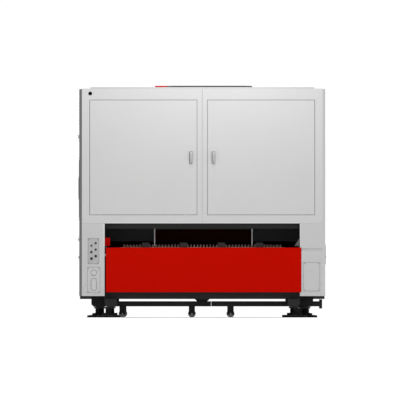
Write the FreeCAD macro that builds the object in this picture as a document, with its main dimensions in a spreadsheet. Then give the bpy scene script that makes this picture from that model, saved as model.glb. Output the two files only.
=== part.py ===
"""Fiber laser cutting machine: enclosed, with a slatted pallet table and scrap carts below the bed.

Frame: millimetres, +Z up, origin on the floor under the middle of the machine.  X runs across the
machine, Y along it: the cabinet end looks towards -Y and the loading end towards +Y.
"""
import FreeCAD
import Part
import os
import re

import Sketcher

DOC = FreeCAD.newDocument("LaserCutter")
SHEET = DOC.addObject("Spreadsheet::Sheet", "Dims")
PARTS = []

SIZES = {
    # enclosure
    "body_width": 2400, "body_length": 4400, "wall_top": 2232, "wall_foot": 210, "wall_sheet": 3,
    "corner_bevel": 26, "corner_depth": 30, "seam_gap": 2, "touch_gap": 0.3,
    # posts and the opening between them
    "opening_half": 953, "opening_sill": 682, "opening_top": 919, "header_drop": 51,
    "post_return": 74, "strip_low": 654, "strip_high": 676, "strip_recess": 4,
    # cabinet above the opening
    "panel_depth": 20, "cabinet_depth": 510, "inner_sheet": 3,
    "door_inner": 54, "door_outer": 1095, "door_low": 1005, "door_high": 2120, "door_gap": 5,
    "door_depth": 25, "door_skin": 2, "door_border": 18, "pin_inset": 6, "pin_back": 8,
    "pin_radius": 4, "pin_reach": 12, "running_gap": 0.05,
    "handle_width": 31, "handle_height": 112, "handle_low": 1505, "handle_inset": 40,
    "handle_base": 6, "lever_proud": 17, "lever_width": 19, "lever_length": 92, "pivot_radius": 4,
    "pivot_drop": 14, "grommet_radius": 15.5,
    "grommet_across": 1093, "grommet_high": 2186, "grommet_proud": 3,
    # cabinet contents: mounting plate, laser source, drives, terminal and breaker rows
    "plate_near": 120, "plate_far": 1040, "plate_foot": 1020, "plate_head": 2080, "plate_out": 40,
    "source_near": 160, "source_far": 1000, "source_depth": 420, "source_high": 560,
    "drive_near": 160, "drive_pitch": 145, "drive_width": 110, "drive_out": 220, "drive_low": 1640,
    "drive_high": 1960, "terminal_out": 110, "terminal_low": 1420, "terminal_high": 1500,
    "breaker_out": 130, "breaker_low": 1180, "breaker_high": 1290, "breaker_far": 760,
    # roof
    "roof_sheet": 6, "step_half": 1093, "step_top": 2249, "step_setback": 60,
    "vent_low": -344, "vent_high": 485, "vent_end": 117, "vent_top": 2262, "vent_setback": 70,
    "vent_length": 3000,
    # bulkhead seen through the opening
    "window_low": -461, "window_high": 482, "window_top": 862, "bulkhead_low": 745, "curtain_lap": 20,
    "curtain_thick": 4,
    "trim_width": 10, "trim_reach": 60, "trim_low": 703,
    "block_low": 700, "block_high": 779, "block_width": 43, "block_depth": 60, "block_inset": 10,
    # bed
    "beam_inner": 960, "beam_outer": 1120, "beam_top": 740, "beam_wall": 12, "beam_inset": 80,
    "apron_left": -940, "apron_right": 967, "apron_foot": 248, "apron_sheet": 3,
    "loading_apron_top": 592, "loading_apron_foot": 335, "sill_foot": 181, "end_beam_depth": 70,
    "end_beam_top": 596,
    "cross_low": 320, "cross_high": 400, "cross_width": 100, "cross_pitch": 1200, "rail_inner": 1084,
    "rail_outer": 1193,
    # legs and levelling feet
    "leg_inner": 834, "leg_outer": 1084, "leg_low": 106, "leg_depth": 200, "leg_chamfer": 22,
    "leg_inner_y": 2085, "leg_outer_y": 1840, "leg_mid_y": 450,
    "foot_inner": 913, "foot_outer": 1013, "plate_radius": 112, "plate_thick": 22, "flange_radius": 63,
    "flange_high": 43, "stem_radius": 31.5, "bolt_radius": 10, "bolt_circle": 85,
    # service panels on the posts
    "plate_left": -1113, "plate_right": -1009, "plate_low": 527, "plate_high": 771, "plate_sheet": 3,
    "ports_left": -1081, "ports_right": -1039, "port_reach": 5, "port_wall": 3,
    "cover_left": -1120, "cover_right": -998, "cover_low": 244, "cover_high": 490,
    "knockout_x": -1058, "knockout_z": 438, "knockout_radius": 28, "slot_low": 263, "slot_high": 384,
    "slot_radius": 27, "knockout_proud": 1.5,
    "box_left": 989, "box_right": 1145, "box_low": 261, "box_high": 537,
    "screw_radius": 5, "screw_proud": 3, "screw_inset": 9,
    # duct
    "duct_radius": 80, "duct_high": 240, "duct_wall": 2, "duct_start": -1950, "duct_end": 2190,
    "collar_radius": 95, "collar_thick": 5,
    # tracks and moving table
    "track_inner": 900, "track_low": 600, "track_high": 620,
    "pallet_start": -1720, "pallet_length": 3200, "pallet_rail": 80, "pallet_high": 680,
    "slat_half": 785, "slat_high": 717, "slat_low": 622, "slat_thick": 4, "slat_pitch": 150,
    "slat_count": 21, "tooth_pitch": 31.3, "tooth_depth": 30, "tooth_gap": 12,
    "lump_width": 76, "lump_high": 735, "lump_pitch": 371, "lump_count": 4, "lump_depth": 30,
    # gantry, carriage and head
    "guide_inner": 1020, "guide_outer": 1055, "guide_high": 775, "guide_start": -1660,
    "guide_end": 2080,
    "gantry_y": -1450, "gantry_half": 110, "gantry_low": 900, "gantry_high": 1130, "gantry_end": 1110,
    "gantry_wall": 10, "carriage_x": -700, "carriage_half": 150, "carriage_depth": 60,
    "face_rail": 20, "slide_depth": 45, "slide_half": 70, "slide_low": 930, "slide_high": 1230,
    "head_radius": 42, "head_low": 845, "tip_low": 800, "tip_radius": 9,
    # carts
    "cart_split": 88, "cart_length": 1055, "cart_gap": 4, "cart_low": 109, "cart_high": 157,
    "cart_start": -1700, "cart_width": 1900, "cart_sheet": 3, "caster_inset": 188, "caster_edge": 70,
    "wheel_radius": 37.5, "wheel_width": 28, "axle_radius": 5, "fork_width": 60, "fork_sheet": 4,
    "fork_gap": 2, "pull_reach": 29, "pull_low": 88, "pull_high": 178, "pull_width": 160,
    # left side: sliding door, window, console
    "slide_door_start": -1010, "slide_door_end": 215, "slide_door_low": 770, "slide_door_high": 1763,
    "slide_door_back": 1201, "slide_door_thick": 8, "slide_lip": 6, "slide_rail_high": 20,
    "slide_rail_proud": 12, "slide_rail_start": -2150, "view_border": 150, "glass_thick": 5,
    "side_open_start": -960, "side_open_end": 165, "side_open_low": 800, "side_open_high": 1735,
    "pane_start": 265, "pane_end": 1265, "console_start": 1450, "console_end": 1950,
    "console_low": 1050, "console_high": 1650, "console_deep": 45, "button_radius": 20,
    "button_collar": 15, "start_radius": 11, "grip_low": 1180, "grip_high": 1380, "grip_half": 18,
    "grip_proud": 3,
    # right side: hinged maintenance door
    "side_door_half": 620, "side_door_low": 1150, "side_door_high": 1842, "hinge_out": 6,
    "hinge_radius": 6, "hinge_pin": 3, "hinge_low": 1298, "hinge_high": 1694, "knuckle": 36,
    "hinge_leaf": 2, "hinge_span": 40, "side_knob_high": 588, "side_knob_radius": 14,
    "side_knob_proud": 9,
    "bay_half": 1000, "pull_bar_low": 1400, "pull_bar_high": 1560, "pull_bar_near": 90,
    "pull_bar_far": 60,
    # loading end
    "guard_low": 748, "guard_high": 932, "guard_thick": 6, "guard_gap": 2, "guard_rail_width": 30,
    "guard_rail_proud": 23, "guard_rail_top": 1180, "guard_half": 950,
}


def fill_sheet():
    """One row a size: its name in column A, its plain number in column B with the name as alias."""
    for row, (name, value) in enumerate(SIZES.items(), start=1):
        SHEET.set(f"A{row}", name)
        SHEET.set(f"B{row}", str(value))
        SHEET.setAlias(f"B{row}", name)
    DOC.recompute()


def with_sheet(formula):
    """The formula with each size name pointed at its cell."""
    return re.sub(r"[a-z][a-z_]*", lambda word: "Dims." + word.group() if word.group() in SIZES
                  else word.group(), str(formula))


def size(formula):
    """The number that a formula of size names gives now."""
    return float(SHEET.evalExpression(with_sheet(formula)))


def bind(thing, **formulas):
    """Tie each named property of an object to a formula of the sheet."""
    for prop, formula in formulas.items():
        thing.setExpression(prop, with_sheet(formula))


def place(thing, x="0", y="0", z="0"):
    """Tie an object's position to three formulas."""
    for axis, formula in (("x", x), ("y", y), ("z", z)):
        thing.setExpression(f".Placement.Base.{axis}", with_sheet(formula))


def block(name, x, y, z):
    """A box between a low and a high formula on each axis."""
    box = DOC.addObject("Part::Box", name)
    bind(box, Length=f"({x[1]}) - ({x[0]})", Width=f"({y[1]}) - ({y[0]})", Height=f"({z[1]}) - ({z[0]})")
    place(box, x[0], y[0], z[0])
    return box


TURNS = {"z": FreeCAD.Rotation(), "y": FreeCAD.Rotation(FreeCAD.Vector(1, 0, 0), -90),
         "x": FreeCAD.Rotation(FreeCAD.Vector(0, 1, 0), 90)}


def rod(name, axis, radius, length, x, y, z):
    """A cylinder that starts at a point and runs along +X, +Y or +Z."""
    cylinder = DOC.addObject("Part::Cylinder", name)
    cylinder.Placement = FreeCAD.Placement(FreeCAD.Vector(), TURNS[axis])
    bind(cylinder, Radius=radius, Height=length)
    place(cylinder, x, y, z)
    return cylinder


def cut(name, base, tool):
    """The base with the tool taken away."""
    result = DOC.addObject("Part::Cut", name)
    result.Base = base
    result.Tool = tool
    return result


def fuse(name, pieces):
    """Pieces welded or folded into one solid."""
    result = DOC.addObject("Part::MultiFuse", name)
    result.Shapes = pieces
    result.Refine = True
    return result


def group(name, pieces):
    """Separate solids that share one node."""
    result = DOC.addObject("Part::Compound", name)
    result.Links = pieces
    return result


def keep(label, thing):
    """Name a finished sub-part and add it to the hand-out list."""
    thing.Label = label
    PARTS.append(thing)
    return thing


def sketch_on(body, role, name):
    """An empty sketch on one of the body's own origin planes."""
    plane = [item for item in body.Origin.OriginFeatures if item.Role == role][0]
    sketch = body.newObject("Sketcher::SketchObject", name)
    sketch.AttachmentSupport = [(plane, "")]
    sketch.MapMode = "FlatFace"
    return sketch


def outline(sketch, points):
    """A closed outline whose corners are tied, in the sketch's own X and Y, to formulas."""
    first = sketch.GeometryCount
    count = len(points)
    corners = [FreeCAD.Vector(size(x), size(y), 0) for x, y in points]
    for index in range(count):
        sketch.addGeometry(Part.LineSegment(corners[index], corners[(index + 1) % count]), False)
    for index in range(count):
        following = first + (index + 1) % count
        sketch.addConstraint(Sketcher.Constraint("Coincident", first + index, 2, following, 1))
    for index, formulas in enumerate(points):
        for kind, formula in zip(("DistanceX", "DistanceY"), formulas):
            rule = Sketcher.Constraint(kind, -1, 1, first + index, 1, size(formula))
            number = sketch.addConstraint(rule)
            sketch.setExpression(f"Constraints[{number}]", with_sheet(formula))


def circle(sketch, radius, x="0", y="0"):
    """A circle tied to a radius and a centre."""
    centre = FreeCAD.Vector(size(x), size(y), 0)
    number = sketch.addGeometry(Part.Circle(centre, FreeCAD.Vector(0, 0, 1), size(radius)), False)
    rules = (Sketcher.Constraint("Radius", number, size(radius)),
             Sketcher.Constraint("DistanceX", -1, 1, number, 3, size(x)),
             Sketcher.Constraint("DistanceY", -1, 1, number, 3, size(y)))
    for rule, formula in zip(rules, (radius, x, y)):
        sketch.setExpression(f"Constraints[{sketch.addConstraint(rule)}]", with_sheet(formula))


def padded(name, role, points, depth, midplane=False):
    """A body whose first feature is a closed outline padded to a depth."""
    body = DOC.addObject("PartDesign::Body", name)
    sketch = sketch_on(body, role, name + "Outline")
    outline(sketch, points)
    pad = body.newObject("PartDesign::Pad", name + "Pad")
    pad.Profile = sketch
    pad.Midplane = midplane
    bind(pad, Length=depth)
    DOC.recompute()
    return body


def pocket(body, role, name, draw, depth="0", through=False, reverse=False):
    """Cut a drawn outline into the body and confirm that it took material away."""
    before = body.Shape.Volume
    sketch = sketch_on(body, role, name + "Outline")
    draw(sketch)
    hole = body.newObject("PartDesign::Pocket", name)
    hole.Profile = sketch
    hole.Reversed = reverse
    if through:
        hole.Type = 1
        hole.Midplane = True
    else:
        bind(hole, Length=depth)
    DOC.recompute()
    if body.Shape.Volume > before - 1e-6:
        raise ValueError(name + " cuts nothing")


def turned(name, points):
    """A body turned about its own Z axis from a half section of (radius, height) corners."""
    body = DOC.addObject("PartDesign::Body", name)
    sketch = sketch_on(body, "XZ_Plane", name + "Section")
    outline(sketch, points)
    turn = body.newObject("PartDesign::Revolution", name + "Turn")
    turn.Profile = sketch
    turn.ReferenceAxis = (sketch, ["V_Axis"])
    turn.Angle = 360
    DOC.recompute()
    return body


def copies(name, pattern, places):
    """Loose copies of one shape, each a separate solid, at (x, y, z) offsets in millimetres."""
    shapes = []
    for spot in places:
        shape = pattern.copy()
        shape.translate(FreeCAD.Vector(*spot))
        shapes.extend(shape.Solids)
    result = DOC.addObject("Part::Feature", name)
    result.Shape = Part.makeCompound(shapes)
    return result


def both_sides(name, x, y, z):
    """Two equal boxes, mirrored across the machine's middle plane."""
    right = block(name + "Right", x, y, z)
    left = block(name + "Left", (f"-({x[1]})", f"-({x[0]})"), y, z)
    return [right, left]


fill_sheet()


def make_base():
    """Welded bed: box beams along both sides, end beams, cross beams and the duct saddles on them."""
    pieces = []
    half = "body_length / 2"
    for side, low, high in (("Right", "beam_inner", "beam_outer"), ("Left", "-beam_outer", "-beam_inner")):
        ends = (f"-{half} + beam_inset", f"{half} - beam_inset")
        outer = block("Beam" + side, (low, high), ends, ("wall_foot", "beam_top"))
        bore = block("BeamBore" + side, (f"{low} + beam_wall", f"{high} - beam_wall"), ends,
                     ("wall_foot + beam_wall", "beam_top - beam_wall"))
        pieces.append(cut("BoxBeam" + side, outer, bore))
    across = ("-beam_inner", "beam_inner")
    start = f"-{half} + beam_inset"
    pieces.append(block("RearBeam", across, (start, f"{start} + end_beam_depth"),
                        ("sill_foot", "end_beam_top")))
    finish = f"{half} - beam_inset"
    pieces.append(block("LoadingBeam", across, (f"{finish} - end_beam_depth", finish),
                        ("cross_low", "end_beam_top - 10")))
    for index in (-1, 0, 1):
        middle = f"{index} * cross_pitch"
        ends = (f"{middle} - cross_width / 2", f"{middle} + cross_width / 2")
        pieces.append(block(f"Cross{index + 1}", across, ends, ("cross_low", "cross_high")))
        saddle = block(f"Saddle{index + 1}", ("-duct_radius * 0.7", "duct_radius * 0.7"), ends,
                       ("duct_high + duct_radius * 0.8", "cross_low"))
        pipe = rod(f"SaddleBore{index + 1}", "y", "duct_radius", "cross_width", "0", ends[0], "duct_high")
        pieces.append(cut(f"DuctSaddle{index + 1}", saddle, pipe))
    keep("bed_frame", group("BedFrame", pieces))


def leg_places():
    """X side sign, inner or outer row, and Y place of each leg."""
    places = []
    for side in (-1, 1):
        for end in (-1, 1):
            places.append((side, "inner", f"{end} * leg_inner_y"))
            places.append((side, "outer", f"{end} * leg_outer_y"))
        places.append((side, "outer", "leg_mid_y"))
    return places


def make_legs():
    """Leg blocks with chamfered feet under the bed, and the base rails outside them."""
    pieces = []
    for index, (side, row, middle) in enumerate(leg_places()):
        low, high = ("leg_inner", "opening_half") if row == "inner" else ("opening_half", "leg_outer")
        top = "wall_foot"
        if row == "inner":
            top = "cross_low" if size(middle) > 0 else "sill_foot"
        across = (low, high) if side > 0 else (f"-{high}", f"-{low}")
        leg = block(f"Leg{index}", across, (f"{middle} - leg_depth / 2", f"{middle} + leg_depth / 2"),
                    ("leg_low", top))
        bevel = DOC.addObject("Part::Chamfer", f"LegBevel{index}")
        bevel.Base = leg
        DOC.recompute()
        lows = [n for n, edge in enumerate(leg.Shape.Edges, start=1)
                if edge.BoundBox.ZMax < size("leg_low") + 1 and edge.BoundBox.YLength > 1]
        bevel.Edges = [(n, size("leg_chamfer"), size("leg_chamfer")) for n in lows]
        pieces.append(bevel)
    length = ("-body_length / 2 + 10", "body_length / 2 - 10")
    pieces += both_sides("BaseRail", ("rail_inner", "rail_outer"), length, ("sill_foot", "wall_foot"))
    keep("leg_blocks", group("LegBlocks", pieces))


def make_feet():
    """Levelling feet: a screw stem with a lock flange on a round, bolted floor plate."""
    stem = turned("FootStem", [("0", "plate_thick"), ("flange_radius", "plate_thick"),
                               ("flange_radius", "flange_high"), ("stem_radius", "flange_high"),
                               ("stem_radius", "leg_low"), ("0", "leg_low")])
    plate = turned("FootPlate", [("0", "0"), ("plate_radius", "0"), ("plate_radius", "plate_thick - 4"),
                                 ("plate_radius - 4", "plate_thick"), ("0", "plate_thick")])
    reach = size("bolt_circle")
    for index in range(4):
        turn = FreeCAD.Rotation(FreeCAD.Vector(0, 0, 1), 45 + 90 * index)
        spot = turn.multVec(FreeCAD.Vector(reach, 0, 0))
        name = f"AnchorHole{index}"
        signs = ("" if spot.x > 0 else "-", "" if spot.y > 0 else "-")
        places = [f"{sign}bolt_circle * sqrt(0.5)" for sign in signs]
        pocket(plate, "XY_Plane", name, lambda sketch: circle(sketch, "bolt_radius", *places), through=True)
    spots = []
    for side, row, middle in leg_places():
        spots.append((side * size("foot_" + row), size(middle), 0))
    keep("foot_screws", copies("FootScrews", stem.Shape, spots))
    keep("foot_plates", copies("FootPlates", plate.Shape, spots))


def make_posts():
    """Folded covers of the bed ends: a face, and a return along the opening."""
    rear = "-body_length / 2"

    def post(name, side, ends, z, turn_back):
        inner, outer = "opening_half", "body_width / 2 - corner_bevel"
        points = [(f"{side} * {inner}", "0"), (f"{side} * ({outer})", "0"),
                  (f"{side} * ({outer})", f"{turn_back} * wall_sheet"),
                  (f"{side} * ({inner} + wall_sheet)", f"{turn_back} * wall_sheet"),
                  (f"{side} * ({inner} + wall_sheet)", f"{turn_back} * post_return"),
                  (f"{side} * {inner}", f"{turn_back} * post_return")]
        body = padded(name, "XY_Plane", points, f"({z[1]}) - ({z[0]})")
        place(body, "0", ends, z[0])
        return body

    keep("rear_post_left", post("PostLeft", -1, rear, ("wall_foot", "opening_top"), 1))
    lower = post("PostRightLower", 1, rear, ("wall_foot", "strip_low"), 1)
    upper = post("PostRightUpper", 1, rear, ("strip_high", "opening_top"), 1)
    strip = block("PostStrip", ("opening_half", "body_width / 2 - corner_bevel"),
                  (f"{rear} + strip_recess", f"{rear} + strip_recess + wall_sheet"),
                      ("strip_low", "strip_high"))
    keep("rear_post_right", group("PostRight", [lower, upper, strip]))
    front = "body_length / 2"
    right = post("LoadingPostRight", 1, front, ("wall_foot", "opening_top"), -1)
    left = post("LoadingPostLeft", -1, front, ("wall_foot", "opening_top"), -1)
    halves = []
    for side, x in (("Left", ("-body_width / 2 + corner_bevel", "-seam_gap / 2")),
                    ("Right", ("seam_gap / 2", "body_width / 2 - corner_bevel"))):
        halves.append(block("LoadingPanel" + side, x, ("body_length / 2 - panel_depth", "body_length / 2"),
                            ("opening_top", "wall_top")))
    halves += both_sides("GuardRail", ("guard_half + touch_gap", "guard_half + guard_rail_width"),
                         ("body_length / 2", "body_length / 2 + guard_rail_proud"),
                         ("opening_sill", "guard_rail_top"))
    keep("loading_end_panels", group("LoadingEnd", [right, left] + halves))


def make_rear_panels():
    """The two fixed rear panels, each a 20 mm folded frame around a door opening."""
    rear = "-body_length / 2"
    opening = (("door_inner - door_gap", "door_outer + door_gap"),
               ("door_low - door_gap", "door_high + door_gap"))
    for label, side in (("rear_panel_left", -1), ("rear_panel_right", 1)):
        x = ("seam_gap / 2", "body_width / 2 - corner_bevel")
        hole_x = opening[0]
        if side < 0:
            x = (f"-({x[1]})", f"-({x[0]})")
            hole_x = (f"-({hole_x[1]})", f"-({hole_x[0]})")
        tools = [block(label + "Opening", hole_x, (f"{rear} - 1", f"{rear} + panel_depth + 1"), opening[1])]
        for end, z in (("Low", "door_low - door_gap - pin_reach"), ("High", "door_high + door_gap")):
            tools.append(rod(label + "PinBore" + end, "z", "pin_radius", "pin_reach",
                             f"{side} * (door_outer - pin_inset)", f"{rear} + pin_back", z))
        if side < 0:
            tools.append(rod("GrommetBore", "y", "grommet_radius", "panel_depth + 2",
                             "-grommet_across", f"{rear} - 1", "grommet_high"))
        plate = block(label + "Plate", x, (rear, f"{rear} + panel_depth"), ("opening_top", "wall_top"))
        keep(label, cut(label + "Cut", plate, group(label + "Tools", tools)))
    plug = turned("Grommet", [("0", "0"), ("grommet_radius", "0"), ("grommet_radius", "panel_depth"),
                              ("grommet_radius + 3", "panel_depth"),
                              ("grommet_radius", "panel_depth + grommet_proud"),
                              ("0", "panel_depth + grommet_proud")])
    plug.Placement.Rotation = FreeCAD.Rotation(FreeCAD.Vector(1, 0, 0), 90)
    place(plug, "-grommet_across", f"{rear} + panel_depth", "grommet_high")
    keep("cable_grommet", plug)


def make_corner_trims():
    """Bevelled strips up the four corners."""
    pieces = []
    for side in (-1, 1):
        for end in (-1, 1):
            name = f"Trim{side + 1}{end + 1}"
            inner = f"{side} * (body_width / 2 - corner_bevel)"
            outer = f"{side} * body_width / 2"
            face = f"{end} * body_length / 2"
            bevel = f"{end} * (body_length / 2 - corner_bevel)"
            back = f"{end} * (body_length / 2 - corner_depth)"
            body = padded(name, "XY_Plane", [(inner, face), (outer, bevel), (outer, back), (inner, back)],
                          "wall_top - roof_sheet - wall_foot")
            place(body, z="wall_foot")
            pieces.append(body)
    keep("corner_trims", group("CornerTrims", pieces))


def wall_panels(name, side, y_cuts, openings):
    """Sheets of a side wall between Y seams; each opening splits its own bay into the sheets around it."""
    pieces = []
    x = ("body_width / 2 - wall_sheet", "body_width / 2")
    if side < 0:
        x = (f"-({x[1]})", f"-({x[0]})")
    for bay in range(len(y_cuts) - 1):
        y = (f"{y_cuts[bay]} + seam_gap / 2", f"{y_cuts[bay + 1]} - seam_gap / 2")
        window = openings.get(bay)
        if window is None:
            pieces.append(block(f"{name}{bay}", x, y, ("wall_foot", "wall_top")))
            continue
        (near, far), (low, high) = window
        sheet = block(f"{name}{bay}", x, y, ("wall_foot", "wall_top"))
        gone = block(f"{name}Opening{bay}", (f"{x[0]} - 1", f"{x[1]} + 1"), (near, far), (low, high))
        pieces.append(cut(f"{name}Frame{bay}", sheet, gone))
    return pieces


def make_side_walls():
    """Side walls in bays: the left has the sliding door, a window and console, the right a service door."""
    ends = ("-body_length / 2 + corner_depth", "body_length / 2 - corner_depth")
    left = wall_panels("LeftWall", -1, [ends[0], "slide_door_start", "slide_door_end", "pane_end + 60",
                                        ends[1]],
                       {1: (("side_open_start", "side_open_end"), ("side_open_low", "side_open_high")),
                        2: (("pane_start", "pane_end"), ("side_open_low", "side_open_high")),
                        3: (("console_start", "console_end"), ("console_low", "console_high"))})
    knob_y = ("-body_length / 2 + 150", "body_length / 2 - 150")
    for index, spot in enumerate(knob_y):
        left.append(rod(f"LeftKnob{index}", "x", "side_knob_radius", "side_knob_proud",
                        "-body_width / 2 - side_knob_proud", spot, "side_knob_high"))
    keep("left_wall", group("LeftWall", left))
    door = (("-side_door_half - touch_gap * 10", "side_door_half + touch_gap * 10"),
            ("side_door_low - touch_gap * 10", "side_door_high + touch_gap * 10"))
    right = wall_panels("RightWall", 1, [ends[0], "-bay_half", "bay_half", ends[1]], {1: door})
    for index, spot in enumerate(knob_y):
        right.append(rod(f"RightKnob{index}", "x", "side_knob_radius", "side_knob_proud",
                         "body_width / 2", spot, "side_knob_high"))
    for index, middle in enumerate(("hinge_low", "hinge_high")):
        knuckle = rod(f"FixedKnuckle{index}", "z", "hinge_radius", "knuckle", "body_width / 2 + hinge_out",
                      "-side_door_half", f"{middle} - knuckle")
        pin = rod(f"HingePin{index}", "z", "hinge_pin", "2 * knuckle", "body_width / 2 + hinge_out",
                  "-side_door_half", f"{middle} - knuckle")
        leaf = block(f"FixedLeaf{index}", ("body_width / 2", "body_width / 2 + hinge_leaf"),
                     ("-side_door_half - hinge_span", "-side_door_half - 3"),
                     (f"{middle} - knuckle", middle))
        right.append(fuse(f"FixedHinge{index}", [knuckle, pin, leaf]))
    keep("right_wall", group("RightWall", right))


def make_roof():
    """Roof sheet, the raised light step on it and the dark vent cover with its red end."""
    length = ("-body_length / 2 + panel_depth", "body_length / 2 - panel_depth")
    sheet = block("RoofSheet", ("-body_width / 2 + wall_sheet", "body_width / 2 - wall_sheet"), length,
                  ("wall_top - roof_sheet", "wall_top"))
    step = block("RoofStep", ("-step_half", "step_half"),
                 ("-body_length / 2 + step_setback", "body_length / 2 - step_setback"),
                     ("wall_top", "step_top"))
    trims = [block(f"RoofEdge{end}", ("-body_width / 2 + corner_depth", "body_width / 2 - corner_depth"),
                   (f"{end} * (body_length / 2 - panel_depth / 2) - panel_depth / 4",
                    f"{end} * (body_length / 2 - panel_depth / 2) + panel_depth / 4"),
                   ("wall_top", "wall_top + 2")) for end in (-1, 1)]
    keep("roof_panels", group("Roof", [sheet, step] + trims))
    along = ("-body_length / 2 + vent_setback", "-body_length / 2 + vent_setback + vent_length")
    keep("roof_vent_cover", block("VentCover", ("vent_low", "vent_high"), along, ("step_top", "vent_top")))
    keep("roof_vent_end", block("VentEnd", ("vent_low - vent_end", "vent_low"), along,
                                ("step_top", "vent_top")))


def make_cabinet():
    """Rear cabinet: floor, back and divider sheets, with the laser source and drives inside."""
    rear = "-body_length / 2"
    back = f"{rear} + cabinet_depth"
    inner = "body_width / 2 - wall_sheet"
    front = f"{rear} + panel_depth + 10"
    top = "wall_top - roof_sheet"
    floor = block("CabinetFloor", (f"-({inner})", inner), (front, back),
                  ("opening_top", "opening_top + inner_sheet"))
    sheet = block("CabinetBack", (f"-({inner})", inner), (back, f"{back} + inner_sheet"),
                  ("opening_top", top))
    divider = block("CabinetDivider", ("-inner_sheet / 2", "inner_sheet / 2"), (front, back),
                    ("opening_top + inner_sheet", top))
    plate = block("DrivePlate", ("plate_near", "plate_far"), (f"{back} - plate_out", back),
                  ("plate_foot", "plate_head"))
    keep("cabinet_walls", group("Cabinet", [floor, sheet, divider, plate]))
    keep("opening_header", block("Header", ("-opening_half", "opening_half"),
                                 (f"{rear} + post_return", f"{rear} + 2 * post_return"),
                                 ("opening_top - header_drop", "opening_top")))
    keep("laser_source", block("LaserSource", ("-source_far", "-source_near"),
                               (f"{back} - source_depth", back),
                               ("opening_top + inner_sheet", "opening_top + source_high")))
    drives = []
    for index in range(6):
        low = f"drive_near + {index} * drive_pitch"
        drives.append(block(f"Drive{index}", (low, f"{low} + drive_width"),
                            (f"{back} - drive_out", f"{back} - plate_out"), ("drive_low", "drive_high")))
    drives.append(block("Terminals", ("drive_near", "source_far"),
                        (f"{back} - terminal_out", f"{back} - plate_out"), ("terminal_low", "terminal_high")))
    drives.append(block("Breakers", ("drive_near", "breaker_far"),
                        (f"{back} - breaker_out", f"{back} - plate_out"), ("breaker_low", "breaker_high")))
    keep("servo_drives", group("Drives", drives))


def make_bulkhead():
    """Dark bulkhead behind the opening, its light edge trims and the red limit block."""
    back = "-body_length / 2 + cabinet_depth"
    plate = block("BulkheadPlate", ("-body_width / 2 + wall_sheet", "body_width / 2 - wall_sheet"),
                  (back, f"{back} + inner_sheet"), ("bulkhead_low", "opening_top"))
    window = block("BulkheadWindow", ("window_low", "window_high"),
                   (f"{back} - 1", f"{back} + inner_sheet + 1"),
                   ("bulkhead_low - 1", "window_top"))
    curtain = block("Curtain", ("window_low - curtain_lap", "window_high + curtain_lap"),
                    (f"{back} + inner_sheet", f"{back} + inner_sheet + curtain_thick"),
                    ("bulkhead_low", "window_top + curtain_lap"))
    keep("inner_bulkhead", group("BulkheadGroup", [cut("Bulkhead", plate, window), curtain]))
    trims = []
    for name, low in (("Left", "window_low - trim_width"), ("Right", "window_high")):
        points = [("0", "bulkhead_low"), ("0", "opening_top - header_drop"),
                  ("-trim_reach", "opening_top - header_drop"), ("-trim_reach", "trim_low"),
                  ("-trim_reach + trim_width", "trim_low"), ("-trim_reach + trim_width", "bulkhead_low")]
        body = padded("Trim" + name, "YZ_Plane", points, "trim_width")
        place(body, low, back)
        trims.append(body)
    keep("bulkhead_trims", group("BulkheadTrims", trims))
    near = "-body_length / 2 + post_return"
    keep("limit_block", block("LimitBlock", ("-opening_half", "-opening_half + block_inset + block_width"),
                              (near, f"{near} + block_depth"), ("block_low", "block_high")))


def make_aprons():
    """Red apron below the opening and the lower one at the loading end, each with folded edges."""
    rear = "-body_length / 2 - apron_sheet"
    inner = ("apron_left", "opening_half - 3")

    def apron(label, x, face, inward, foot, top):
        sheets = [block(label + "Face", x, sorted_pair(face, f"{face} + {inward} * apron_sheet"),
                        (foot, top))]
        fold = sorted_pair(face, f"{face} + {inward} * post_return")
        for name, z in (("Top", (f"{top} - apron_sheet", top)), ("Foot", (foot, f"{foot} + apron_sheet"))):
            sheets.append(block(label + name, inner if label == "Rear" else x, fold, z))
        return fuse(label + "Apron", sheets)

    keep("rear_apron", apron("Rear", ("apron_left", "apron_right"), rear, 1, "apron_foot",
                             "opening_sill"))
    keep("loading_apron", apron("Loading", ("-opening_half + 3", "opening_half - 3"), "body_length / 2", -1,
                                "loading_apron_foot", "loading_apron_top"))


def sorted_pair(first, second):
    """Two formulas, lower value first."""
    return (first, second) if size(first) < size(second) else (second, first)


PORTS = (("ports_right", 726, 8.75), ("ports_right", 664, 9.25), ("ports_right", 600, 11.75),
         ("ports_left", 702, 7.75), ("ports_left", 639, 10.25), ("ports_left", 576, 12.25))


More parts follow.
